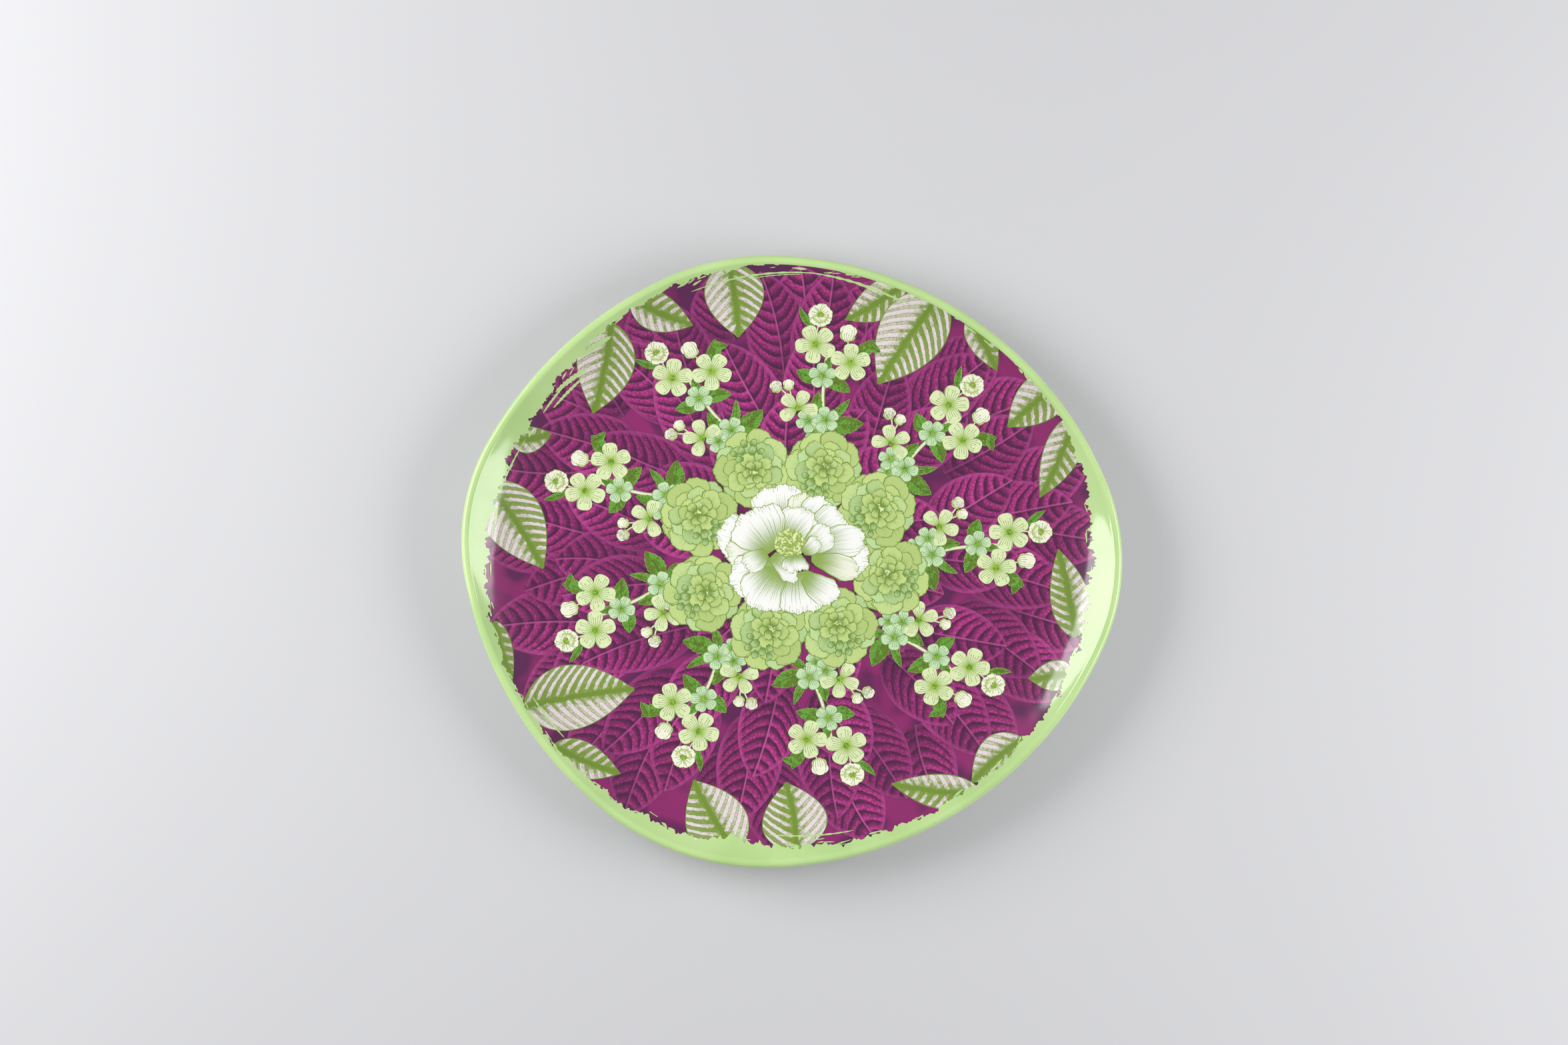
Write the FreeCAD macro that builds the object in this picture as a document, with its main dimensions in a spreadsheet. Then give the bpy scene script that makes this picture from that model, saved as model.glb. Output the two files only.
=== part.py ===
import FreeCAD, Part
import math
import os
import Sketcher

# A free-form coupe serving platter in glazed china, lying on its foot ring.
# Millimetres. +Z is up, X is the long way of the platter, and the origin is
# the middle of the platter's outline on the plane that the foot ring rests on.
#
# The ware is one fired piece: floor, curved wall, rolled lip and foot ring.
# Everything else is laid on it and fired again: a clear coat on the face, a
# white coat underneath, the green band round the lip, and the printed
# transfers, each a thin film with an outline of its own.

SIZES = {
    # The outline: four round corners, joined by four long shallow arcs. Each
    # corner's roundness is its radius as a share of an ellipse's at that end,
    # and each side's bow is how far its arc stands out between the corners.
    "overall_length": 360.0,
    "overall_width": 334.0,
    "overall_height": 26.0,
    "left_corner_roundness": 0.355,
    "left_corner_shift": 11.0,
    "top_corner_roundness": 0.3557,
    "top_corner_shift": -12.0,
    "right_corner_roundness": 0.3647,
    "right_corner_shift": 0.0,
    "bottom_corner_roundness": 0.3557,
    "bottom_corner_shift": -15.0,
    "top_left_side_bow": 5.155,
    "top_right_side_bow": 13.02,
    "bottom_right_side_bow": 13.147,
    "bottom_left_side_bow": 6.515,
    # The ware's section.
    "wall_thickness": 4.4,
    "wall_run": 52.0,
    "foot_height": 3.2,
    "foot_width": 4.6,
    "foot_gap": 6.0,
    "foot_edge_radius": 1.2,
    "foot_bare_height": 1.5,
    "seam_lap": 4.0,
    # The coats and the prints.
    "coat_thickness": 0.3,
    "print_thickness": 0.2,
    "band_width": 6.5,
    "band_turn_under": 6.0,
    # Where the pattern is centred on the platter.
    "pattern_shift_x": 1.0,
    "pattern_shift_y": 8.0,
    # The big flower in the middle.
    "peony_petal_reach": 28.0,
    "peony_petal_radius": 9.5,
    # The ring of double flowers round it.
    "wreath_radius": 48.5,
    "wreath_first_angle": 71.0,
    "wreath_petal_reach": 9.6,
    "wreath_petal_radius": 6.4,
    # The blossom sprays: places are along and across one spray's own axis.
    "spray_first_angle": 78.2,
    "blossom_petal_reach": 6.6,
    "blossom_petal_radius": 4.3,
    "mint_petal_reach": 4.6,
    "mint_petal_radius": 2.9,
    "bud_petal_reach": 2.2,
    "bud_petal_radius": 3.0,
    "left_blossom_along": 117.0,
    "left_blossom_across": 11.2,
    "right_blossom_along": 113.5,
    "right_blossom_across": -10.5,
    "left_bud_along": 131.0,
    "left_bud_across": 12.0,
    "right_bud_along": 126.5,
    "right_bud_across": -6.0,
    "inner_blossom_along": 80.0,
    "inner_blossom_across": 10.0,
    "mint_blossom_along": 99.0,
    "mint_blossom_across": 0.0,
    "stem_start": 68.0,
    "stem_end": 128.0,
    "stem_bow": 2.4,
    # Prisms that cut the prints to shape are taller than the platter.
    "prism_height": 60.0,
}

# One tapered leaf printed at the rim: its tip, and the point that its stalk runs
# to (under the band), both as shares of half the platter's length and width;
# then how far each side bows out from the straight line, in millimetres.
RIM_LEAVES = [
    ((-0.163, 0.740), (-0.194, 0.976), 15.5),
    ((-0.302, 0.778), (-0.495, 0.862), 10.0),
    ((-0.606, 0.489), (-0.550, 0.784), 15.0),
    ((-0.732, 0.419), (-0.861, 0.395), 7.0),
    ((-0.757, -0.023), (-0.928, 0.257), 15.5),
    ((-0.844, -0.395), (-0.900, -0.198), 6.0),
    ((-0.479, -0.419), (-0.811, -0.479), 17.0),
    ((-0.520, -0.696), (-0.722, -0.605), 9.5),
    ((-0.298, -0.718), (-0.167, -0.952), 16.0),
    ((-0.017, -0.725), (0.017, -0.946), 17.0),
    ((0.303, -0.730), (0.572, -0.760), 9.0),
    ((0.544, -0.725), (0.700, -0.581), 11.0),
    ((0.719, -0.385), (0.856, -0.359), 8.0),
    ((0.813, 0.040), (0.861, -0.251), 10.0),
    ((0.758, 0.210), (0.861, 0.473), 9.5),
    ((0.659, 0.442), (0.833, 0.587), 12.0),
    ((0.625, 0.624), (0.533, 0.790), 7.0),
    ((0.264, 0.586), (0.456, 0.874), 17.5),
    ((0.164, 0.797), (0.344, 0.910), 9.5),
]

PETALS_PER_BLOSSOM = 5
PETALS_PER_WREATH_FLOWER = 7
PETALS_PER_PEONY = 11
BUD_LOBES = 3
SPRAYS = 9
WREATH_FLOWERS = 8

doc = FreeCAD.newDocument("Platter")
sheet = doc.addObject("Spreadsheet::Sheet", "Sizes")
for row, (alias, number) in enumerate(SIZES.items(), start=1):
    sheet.set(f"A{row}", alias)
    sheet.set(f"B{row}", str(number))
    sheet.setAlias(f"B{row}", alias)
doc.recompute()


class Size:
    """A length or angle: the sheet expression that gives it, and its value."""

    def __init__(self, text, number):
        self.text = text
        self.number = number

    def join(self, sign, other, number):
        return Size(f"({self.text} {sign} {other.text})", number)

    def __add__(self, other):
        other = as_size(other)
        return self.join("+", other, self.number + other.number)

    def __sub__(self, other):
        other = as_size(other)
        return self.join("-", other, self.number - other.number)

    def __mul__(self, other):
        other = as_size(other)
        return self.join("*", other, self.number * other.number)

    def __truediv__(self, other):
        other = as_size(other)
        return self.join("/", other, self.number / other.number)

    def __neg__(self):
        return Size(f"(-1 * {self.text})", -self.number)


def as_size(value):
    if isinstance(value, Size):
        return value
    return Size(f"({value:.9g})", float(value))


def size(alias):
    return Size(f"Sizes.{alias}", float(sheet.get(alias)))


def cosine(degrees):
    return Size(f"cos({degrees.text} * 1 deg)", math.cos(math.radians(degrees.number)))


def sine(degrees):
    return Size(f"sin({degrees.text} * 1 deg)", math.sin(math.radians(degrees.number)))


ZERO = as_size(0)
LENGTH = size("overall_length")
WIDTH = size("overall_width")
HEIGHT = size("overall_height")
WALL = size("wall_thickness")
RUN = size("wall_run")
COAT = size("coat_thickness")
PRINT = size("print_thickness")
LAP = size("seam_lap")
FOOT_HEIGHT = size("foot_height")
FOOT_OUTSIDE = RUN + size("foot_gap")
FOOT_INSIDE = FOOT_OUTSIDE + size("foot_width")
FLOOR = FOOT_HEIGHT + WALL

# The face of the wall is one arc, tangent to the floor. Its radius follows
# from the lip, which is a full round centred this far in and this far down.
LIP = WALL / 2 + COAT
LIP_RUN = RUN - LIP
LIP_RISE = HEIGHT - LIP - FLOOR
FACE_RADIUS = (LIP_RUN * LIP_RUN + LIP_RISE * LIP_RISE - WALL * WALL / 4) / (LIP_RISE * 2 + WALL)
ARC_HEIGHT = FLOOR + FACE_RADIUS


# ---------------------------------------------------------------- sketching

def plane_of(body, role):
    for feature in body.Origin.OriginFeatures:
        if feature.Role == role:
            return feature
    raise ValueError(role)


def new_body(name):
    body = doc.addObject("PartDesign::Body", name)
    body.Label = name
    body.AllowCompound = True
    return body


def new_sketch(body, name, role, lift=ZERO):
    sketch = body.newObject("Sketcher::SketchObject", name)
    sketch.AttachmentSupport = [(plane_of(body, role), "")]
    sketch.MapMode = "FlatFace"
    sketch.AttachmentOffset = FreeCAD.Placement(FreeCAD.Vector(0, 0, lift.number), FreeCAD.Rotation())
    if lift is not ZERO:
        sketch.setExpression("AttachmentOffset.Base.z", lift.text)
    return sketch


def bind(sketch, index, value):
    name = f"size_{index}"
    sketch.renameConstraint(index, name)
    sketch.setExpression(f"Constraints.{name}", value.text)


def pin_one(sketch, kind, geo, point, value):
    """Hold one coordinate of a point, measured from the sketch's origin."""
    if value.number < 0:
        value = -value
        index = sketch.addConstraint(Sketcher.Constraint(kind, geo, point, -1, 1, value.number))
    else:
        index = sketch.addConstraint(Sketcher.Constraint(kind, -1, 1, geo, point, value.number))
    bind(sketch, index, value)


def pin(sketch, geo, point, across, up):
    pin_one(sketch, "DistanceX", geo, point, across)
    pin_one(sketch, "DistanceY", geo, point, up)


def hold_radius(sketch, geo, value):
    bind(sketch, sketch.addConstraint(Sketcher.Constraint("Radius", geo, value.number)), value)


def vector(x, y):
    return FreeCAD.Vector(x, y, 0)


def arc_between(centre, start, end):
    """The arc about a centre that runs anticlockwise from start to end."""
    radius = math.hypot(start[0] - centre[0], start[1] - centre[1])
    first = math.atan2(start[1] - centre[1], start[0] - centre[0])
    last = math.atan2(end[1] - centre[1], end[0] - centre[0])
    if last <= first:
        last += 2 * math.pi
    circle = Part.Circle(vector(*centre), FreeCAD.Vector(0, 0, 1), radius)
    return Part.ArcOfCircle(circle, first, last)


START, END, CENTRE = 1, 2, 3


# ------------------------------------------------------------- the outline

def corners(inset):
    """The four round corners, anticlockwise from the left: centre and radius."""
    end = WIDTH * WIDTH / LENGTH
    flank = LENGTH * LENGTH / WIDTH
    left = size("left_corner_roundness") * end
    bottom = size("bottom_corner_roundness") * flank
    right = size("right_corner_roundness") * end
    top = size("top_corner_roundness") * flank
    return [
        (left - LENGTH / 2, size("left_corner_shift"), left - inset),
        (size("bottom_corner_shift"), bottom - WIDTH / 2, bottom - inset),
        (LENGTH / 2 - right, size("right_corner_shift"), right - inset),
        (size("top_corner_shift"), WIDTH / 2 - top, top - inset),
    ]


def side_radii(inset):
    """The four side arcs, anticlockwise from the bottom left, from how far each bows."""
    radii = []
    corner = corners(inset)
    for i, name in enumerate(["bottom_left", "bottom_right", "top_right", "top_left"]):
        first, second = corner[i], corner[(i + 1) % 4]
        bow = size(f"{name}_side_bow")
        run_x = second[0] - first[0]
        run_y = second[1] - first[1]
        chord_squared = run_x * run_x + run_y * run_y
        radii.append((first[2] + second[2]) / 2 + (chord_squared / 4 + bow * bow) / (bow * 2))
    return radii


def side_centre(first, second, radius):
    """Centre of the big arc that both corner circles touch from inside."""
    first_gap = radius - first[2].number
    second_gap = radius - second[2].number
    run_x = second[0].number - first[0].number
    run_y = second[1].number - first[1].number
    apart = math.hypot(run_x, run_y)
    along = (first_gap ** 2 - second_gap ** 2 + apart ** 2) / (2 * apart)
    beside = math.sqrt(first_gap ** 2 - along ** 2)
    along_x, along_y = run_x / apart, run_y / apart
    return (first[0].number + along_x * along - along_y * beside,
            first[1].number + along_y * along + along_x * beside)


def touch_point(side, corner):
    """Where the side arc meets the corner circle."""
    away_x = corner[0].number - side[0]
    away_y = corner[1].number - side[1]
    apart = math.hypot(away_x, away_y)
    reach = corner[2].number / apart
    return (corner[0].number + away_x * reach, corner[1].number + away_y * reach)


def draw_outline(sketch, inset):
    """The platter's outline, inset all round, split at its leftmost point.

    Every inset outline is concentric with the rim, because each arc keeps its
    centre and only its radius shrinks.
    """
    corner = corners(inset)
    sides = side_radii(inset)
    centres = [side_centre(corner[i], corner[(i + 1) % 4], sides[i].number) for i in range(4)]
    into = [touch_point(centres[i - 1], corner[i]) for i in range(4)]
    out_of = [touch_point(centres[i], corner[i]) for i in range(4)]
    middles = [(c[0].number, c[1].number) for c in corner]
    leftmost = (middles[0][0] - corner[0][2].number, middles[0][1])

    arcs = [arc_between(middles[0], leftmost, out_of[0])]
    for i in range(4):
        following = (i + 1) % 4
        arcs.append(arc_between(centres[i], out_of[i], into[following]))
        if following:
            arcs.append(arc_between(middles[following], into[following], out_of[following]))
    arcs.append(arc_between(middles[0], into[0], leftmost))
    sketch.addGeometry(arcs, False)

    last = len(arcs) - 1
    sketch.addConstraint(Sketcher.Constraint("Coincident", 0, CENTRE, last, CENTRE))
    sketch.addConstraint(Sketcher.Constraint("Coincident", last, END, 0, START))
    sketch.addConstraint(Sketcher.Constraint("Horizontal", 0, START, 0, CENTRE))
    for i in range(last):
        sketch.addConstraint(Sketcher.Constraint("Tangent", i, END, i + 1, START))
    for i in range(4):
        pin(sketch, 2 * i, CENTRE, corner[i][0], corner[i][1])
        hold_radius(sketch, 2 * i, corner[i][2])
        hold_radius(sketch, 2 * i + 1, sides[i])


# ---------------------------------------------------------------- sections

def place(inset, up):
    """A point of a section: how far in from the rim, and how high."""
    return (inset - LENGTH / 2, up)


def number_pair(point):
    return (point[0].number, point[1].number)


def wall_arc_end(radius, angle):
    """Point at this angle from straight down on an arc about the wall's centre."""
    return (RUN.number - LENGTH.number / 2 - radius * math.sin(angle),
            ARC_HEIGHT.number - radius * math.cos(angle))


class Section:
    """A closed run of lines and arcs, drawn in order in one sketch."""

    def __init__(self, body, name):
        self.sketch = new_sketch(body, name, "XZ_Plane", -size("left_corner_shift"))
        self.count = 0

    def add(self, shape, backwards=False, smooth=False):
        """Add one edge. Its first end joins the end of the edge before it."""
        self.sketch.addGeometry(shape, False)
        first, last = (END, START) if backwards else (START, END)
        kind = "Tangent" if smooth else "Coincident"
        if self.count:
            self.sketch.addConstraint(
                Sketcher.Constraint(kind, self.count - 1, self.tail, self.count, first))
        else:
            self.head = first
        self.tail = last
        self.count += 1
        return self.count - 1

    def line(self, start, end, smooth=False):
        return self.add(Part.LineSegment(vector(*start), vector(*end)), smooth=smooth)

    def close(self):
        self.sketch.addConstraint(
            Sketcher.Constraint("Coincident", self.count - 1, self.tail, 0, self.head))

    def run(self, points, smooth=False):
        """Straight edges through points that are all pinned, save the first."""
        for start, end in zip(points, points[1:]):
            geo = self.line(number_pair(start), number_pair(end), smooth)
            pin(self.sketch, geo, END, *end)
            smooth = False


def wall_centre():
    return place(RUN, ARC_HEIGHT)


def angle_at(inset, radius):
    return math.asin((RUN.number - inset.number) / radius)


def sweep_ring(body, section, name):
    """Carry a section round the rim's outline."""
    path = new_sketch(body, f"{name}_path", "XY_Plane")
    draw_outline(path, ZERO)
    doc.recompute()
    pipe = body.newObject("PartDesign::AdditivePipe", name)
    pipe.Profile = section.sketch
    pipe.Spine = (path, [""])
    doc.recompute()
    return pipe


def fill_middle(body, name, inset, bottom, thickness):
    """The flat middle inside a ring: a plate with the outline's own shape."""
    sketch = new_sketch(body, f"{name}_outline", "XY_Plane", bottom)
    draw_outline(sketch, inset)
    pad = body.newObject("PartDesign::Pad", name)
    pad.Profile = sketch
    pad.Length = thickness.number
    pad.setExpression("Length", thickness.text)
    doc.recompute()
    return pad


# ---------------------------------------------------------------- the ware

def make_ceramic_body():
    body = new_body("ceramic_body")
    section = Section(body, "ware_section")
    inner = FOOT_INSIDE + LAP
    edge = size("foot_edge_radius")
    centre = wall_centre()
    lip_centre = place(LIP, HEIGHT - LIP)
    lean = math.asin(LIP_RUN.number / (FACE_RADIUS + WALL / 2).number)
    face_end = wall_arc_end(FACE_RADIUS.number, lean)
    back_end = wall_arc_end((FACE_RADIUS + WALL).number, lean)
    face_start = place(RUN, FLOOR)
    back_start = place(RUN, FOOT_HEIGHT)

    top = section.line(number_pair(place(inner, FLOOR)), number_pair(face_start))
    pin(section.sketch, top, START, *place(inner, FLOOR))
    pin(section.sketch, top, END, *face_start)
    face = section.add(arc_between(number_pair(centre), face_end, number_pair(face_start)), True)
    pin(section.sketch, face, CENTRE, *centre)
    lip = section.add(arc_between(number_pair(lip_centre), face_end, back_end), smooth=True)
    pin(section.sketch, lip, CENTRE, *lip_centre)
    back = section.add(arc_between(number_pair(centre), back_end, number_pair(back_start)), smooth=True)
    section.sketch.addConstraint(Sketcher.Constraint("Coincident", back, CENTRE, face, CENTRE))
    pin_one(section.sketch, "DistanceX", back, END, back_start[0])

    foot_side = place(FOOT_OUTSIDE, FOOT_HEIGHT)
    section.run([back_start, foot_side, place(FOOT_OUTSIDE, edge)])
    corner = place(FOOT_OUTSIDE + edge, edge)
    low = place(FOOT_OUTSIDE + edge, ZERO)
    bend = section.add(
        arc_between(number_pair(corner), number_pair(place(FOOT_OUTSIDE, edge)), number_pair(low)))
    pin(section.sketch, bend, CENTRE, *corner)
    section.run([low, place(FOOT_INSIDE - edge, ZERO)], smooth=True)
    corner = place(FOOT_INSIDE - edge, edge)
    bend = section.add(
        arc_between(number_pair(corner), number_pair(place(FOOT_INSIDE - edge, ZERO)),
                    number_pair(place(FOOT_INSIDE, edge))))
    pin(section.sketch, bend, CENTRE, *corner)
    section.run([place(FOOT_INSIDE, edge), place(FOOT_INSIDE, FOOT_HEIGHT)], smooth=True)
    section.run([place(FOOT_INSIDE, FOOT_HEIGHT), place(inner, FOOT_HEIGHT)])
    section.line(number_pair(place(inner, FOOT_HEIGHT)), number_pair(place(inner, FLOOR)))
    section.close()
    sweep_ring(body, section, "ware_ring")
    fill_middle(body, "ware_floor", FOOT_INSIDE + LAP / 2, FOOT_HEIGHT, WALL)
    return body


# ---------------------------------------------------------------- the coats

def wall_points(inset, radius):
    """Where an arc about the wall's centre passes a given inset."""
    return wall_arc_end(radius.number, angle_at(inset, radius.number))


def make_face_layer(body, name, below, thickness, inset):
    """A film on the face, from a given inset inwards, over wall and floor.

    Its two sides are concentric with the wall's face and level with the
    floor, so films of different depths lie on one another without a gap.
    """
    above = below + thickness
    under_radius = FACE_RADIUS - below
    over_radius = FACE_RADIUS - above
    centre = wall_centre()
    inner = RUN + LAP
    under_end = wall_points(inset, under_radius)
    lean = angle_at(inset, under_radius.number)
    over_end = wall_arc_end(over_radius.number, lean)
    under_foot = place(RUN, FLOOR + below)
    over_foot = place(RUN, FLOOR + above)

    section = Section(body, f"{name}_section")
    sketch = section.sketch
    bottom = section.line(number_pair(place(inner, FLOOR + below)), number_pair(under_foot))
    pin(sketch, bottom, START, *place(inner, FLOOR + below))
    pin(sketch, bottom, END, *under_foot)
    under = section.add(arc_between(number_pair(centre), under_end, number_pair(under_foot)), True)
    pin(sketch, under, CENTRE, *centre)
    pin_one(sketch, "DistanceX", under, START, place(inset, ZERO)[0])
    end = section.line(under_end, over_end)
    over = section.add(arc_between(number_pair(centre), over_end, number_pair(over_foot)))
    sketch.addConstraint(Sketcher.Constraint("Coincident", over, CENTRE, under, CENTRE))
    sketch.addConstraint(Sketcher.Constraint("PointOnObject", under, CENTRE, end))
    pin(sketch, over, END, *over_foot)
    section.run([over_foot, place(inner, FLOOR + above)])
    section.line(number_pair(place(inner, FLOOR + above)), number_pair(place(inner, FLOOR + below)))
    section.close()
    sweep_ring(body, section, f"{name}_ring")
    fill_middle(body, f"{name}_middle", RUN + LAP / 2, FLOOR + below, thickness)
    return body


def make_face_coat():
    return make_face_layer(new_body("face_coat"), "face_coat", ZERO, COAT, size("band_width"))


def make_rim_band():
    """The green band: a coat that wraps the lip from the face to underneath."""
    body = new_body("rim_band")
    section = Section(body, "band_section")
    sketch = section.sketch
    centre = number_pair(wall_centre())
    lip_centre = place(LIP, HEIGHT - LIP)
    lean = math.asin(LIP_RUN.number / (FACE_RADIUS + WALL / 2).number)
    inset = size("band_width")
    tuck = size("band_turn_under")
    back_radius = FACE_RADIUS + WALL

    def arc_pair(radius, from_end, to_end, backwards, smooth):
        return section.add(arc_between(centre, from_end, to_end), backwards, smooth)

    inner_start = wall_points(inset, FACE_RADIUS)
    inner_lip = wall_arc_end(FACE_RADIUS.number, lean)
    inner_back = wall_arc_end(back_radius.number, lean)
    inner_end = wall_points(tuck, back_radius)
    outer_end = wall_arc_end((back_radius + COAT).number, angle_at(tuck, back_radius.number))
    outer_back = wall_arc_end((back_radius + COAT).number, lean)
    outer_lip = wall_arc_end((FACE_RADIUS - COAT).number, lean)
    outer_start = wall_arc_end((FACE_RADIUS - COAT).number, angle_at(inset, FACE_RADIUS.number))

    face = arc_pair(FACE_RADIUS, inner_lip, inner_start, True, False)
    pin(sketch, face, CENTRE, *wall_centre())
    hold_radius(sketch, face, FACE_RADIUS)
    pin_one(sketch, "DistanceX", face, END, place(inset, ZERO)[0])
    lip = section.add(arc_between(number_pair(lip_centre), inner_lip, inner_back), smooth=True)
    pin(sketch, lip, CENTRE, *lip_centre)
    back = section.add(arc_between(centre, inner_back, inner_end), smooth=True)
    sketch.addConstraint(Sketcher.Constraint("Coincident", back, CENTRE, face, CENTRE))
    pin_one(sketch, "DistanceX", back, END, place(tuck, ZERO)[0])
    under_end = section.line(inner_end, outer_end)
    back_out = section.add(arc_between(centre, outer_back, outer_end), True)
    sketch.addConstraint(Sketcher.Constraint("Coincident", back_out, CENTRE, face, CENTRE))
    sketch.addConstraint(Sketcher.Constraint("PointOnObject", back_out, CENTRE, under_end))
    hold_radius(sketch, back_out, back_radius + COAT)
    lip_out = section.add(arc_between(number_pair(lip_centre), outer_lip, outer_back), True, True)
    sketch.addConstraint(Sketcher.Constraint("Coincident", lip_out, CENTRE, lip, CENTRE))
    face_out = section.add(arc_between(centre, outer_lip, outer_start), smooth=True)
    sketch.addConstraint(Sketcher.Constraint("Coincident", face_out, CENTRE, face, CENTRE))
    face_end = section.line(outer_start, inner_start)
    sketch.addConstraint(Sketcher.Constraint("PointOnObject", face, CENTRE, face_end))
    section.close()
    sweep_ring(body, section, "band_ring")
    return body


def make_back_coat():
    """The white coat underneath: outside the foot ring, and inside it."""
    body = new_body("back_coat")
    centre = wall_centre()
    tuck = size("band_turn_under")
    bare = size("foot_bare_height")
    back_radius = FACE_RADIUS + WALL
    inner_start = wall_points(tuck, back_radius)
    outer_start = wall_arc_end((back_radius + COAT).number, angle_at(tuck, back_radius.number))
    inner_foot = place(RUN, FOOT_HEIGHT)
    outer_foot = place(RUN, FOOT_HEIGHT - COAT)

    section = Section(body, "outside_section")
    sketch = section.sketch
    inside = section.add(arc_between(number_pair(centre), inner_start, number_pair(inner_foot)))
    pin(sketch, inside, CENTRE, *centre)
    pin_one(sketch, "DistanceX", inside, START, place(tuck, ZERO)[0])
    section.run([inner_foot, place(FOOT_OUTSIDE, FOOT_HEIGHT), place(FOOT_OUTSIDE, bare),
                 place(FOOT_OUTSIDE - COAT, bare), place(FOOT_OUTSIDE - COAT, FOOT_HEIGHT - COAT),
                 outer_foot])
    pin(sketch, inside, END, *inner_foot)
    outside = section.add(
        arc_between(number_pair(centre), outer_start, number_pair(outer_foot)), True)
    sketch.addConstraint(Sketcher.Constraint("Coincident", outside, CENTRE, inside, CENTRE))
    end = section.line(outer_start, inner_start)
    sketch.addConstraint(Sketcher.Constraint("PointOnObject", inside, CENTRE, end))
    section.close()
    sweep_ring(body, section, "outside_ring")

    section = Section(body, "inside_section")
    inner = FOOT_INSIDE + LAP
    points = [place(FOOT_INSIDE, FOOT_HEIGHT), place(inner, FOOT_HEIGHT),
              place(inner, FOOT_HEIGHT - COAT), place(FOOT_INSIDE + COAT, FOOT_HEIGHT - COAT),
              place(FOOT_INSIDE + COAT, bare), place(FOOT_INSIDE, bare)]
    section.run(points + points[:1])
    section.close()
    sweep_ring(body, section, "inside_ring")
    fill_middle(body, "inside_middle", FOOT_INSIDE + LAP / 2, FOOT_HEIGHT - COAT, COAT)
    return body


# --------------------------------------------------------------- the prints

def turned(along, across, degrees):
    """A place along and across a spray's axis, turned about the pattern's middle."""
    return (along * cosine(degrees) - across * sine(degrees),
            along * sine(degrees) + across * cosine(degrees))


def draw_petals(sketch, middle, reach, radius, count, first_angle):
    """A closed ring of round petals about a middle."""
    step = 360 / count
    half_gap = math.sin(math.pi / count) * reach.number
    inward = math.cos(math.pi / count) * reach.number
    valley = inward + math.sqrt(radius.number ** 2 - half_gap ** 2)
    start_geo = sketch.GeometryCount
    for i in range(count):
        angle = first_angle + as_size(i * step)
        centre = (middle[0] + reach * cosine(angle), middle[1] + reach * sine(angle))
        before = math.radians(angle.number - step / 2)
        after = math.radians(angle.number + step / 2)
        start = (middle[0].number + valley * math.cos(before), middle[1].number + valley * math.sin(before))
        end = (middle[0].number + valley * math.cos(after), middle[1].number + valley * math.sin(after))
        sketch.addGeometry(arc_between(number_pair(centre), start, end), False)
        pin(sketch, start_geo + i, CENTRE, *centre)
        hold_radius(sketch, start_geo + i, radius)
    for i in range(count):
        following = start_geo + (i + 1) % count
        sketch.addConstraint(Sketcher.Constraint("Coincident", start_geo + i, END, following, START))


def draw_leaf(sketch, tip, foot, bow):
    """A pointed leaf or slim stem: two arcs that bow out between its ends."""
    run_x = foot[0].number - tip[0].number
    run_y = foot[1].number - tip[1].number
    half = math.hypot(run_x, run_y) / 2
    radius = (half ** 2 + bow.number ** 2) / (2 * bow.number)
    back = (radius - bow.number) / half / 2
    middle_x = (tip[0].number + foot[0].number) / 2
    middle_y = (tip[1].number + foot[1].number) / 2
    ends = (number_pair(tip), number_pair(foot))
    length_squared = ((foot[0] - tip[0]) * (foot[0] - tip[0])
                      + (foot[1] - tip[1]) * (foot[1] - tip[1]))
    bound_radius = (length_squared / 4 + bow * bow) / (bow * 2)
    geo = sketch.GeometryCount
    for side, (start, end) in ((1, ends), (-1, ends[::-1])):
        centre = (middle_x - side * run_y * back, middle_y + side * run_x * back)
        sketch.addGeometry(arc_between(centre, start, end), False)
    pin(sketch, geo, START, *tip)
    pin(sketch, geo, END, *foot)
    sketch.addConstraint(Sketcher.Constraint("Coincident", geo, START, geo + 1, END))
    sketch.addConstraint(Sketcher.Constraint("Coincident", geo, END, geo + 1, START))
    hold_radius(sketch, geo, bound_radius)
    hold_radius(sketch, geo + 1, bound_radius)


def place_on_pattern(body):
    """Set a body's own origin at the middle of the printed pattern."""
    body.setExpression(".Placement.Base.x", size("pattern_shift_x").text)
    body.setExpression(".Placement.Base.y", size("pattern_shift_y").text)


def pad_up(body, sketch, name, thickness):
    pad = body.newObject("PartDesign::Pad", name)
    pad.Profile = sketch
    pad.Length = thickness.number
    pad.setExpression("Length", thickness.text)
    return pad


def repeat_round(body, features, name, count):
    """Repeat features round the pattern's middle."""
    doc.recompute()
    pattern = body.newObject("PartDesign::PolarPattern", name)
    pattern.Originals = features
    pattern.Axis = (plane_of(body, "Z_Axis"), [""])
    pattern.Angle = 360
    pattern.Occurrences = count
    body.Tip = pattern
    doc.recompute()
    return pattern


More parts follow.
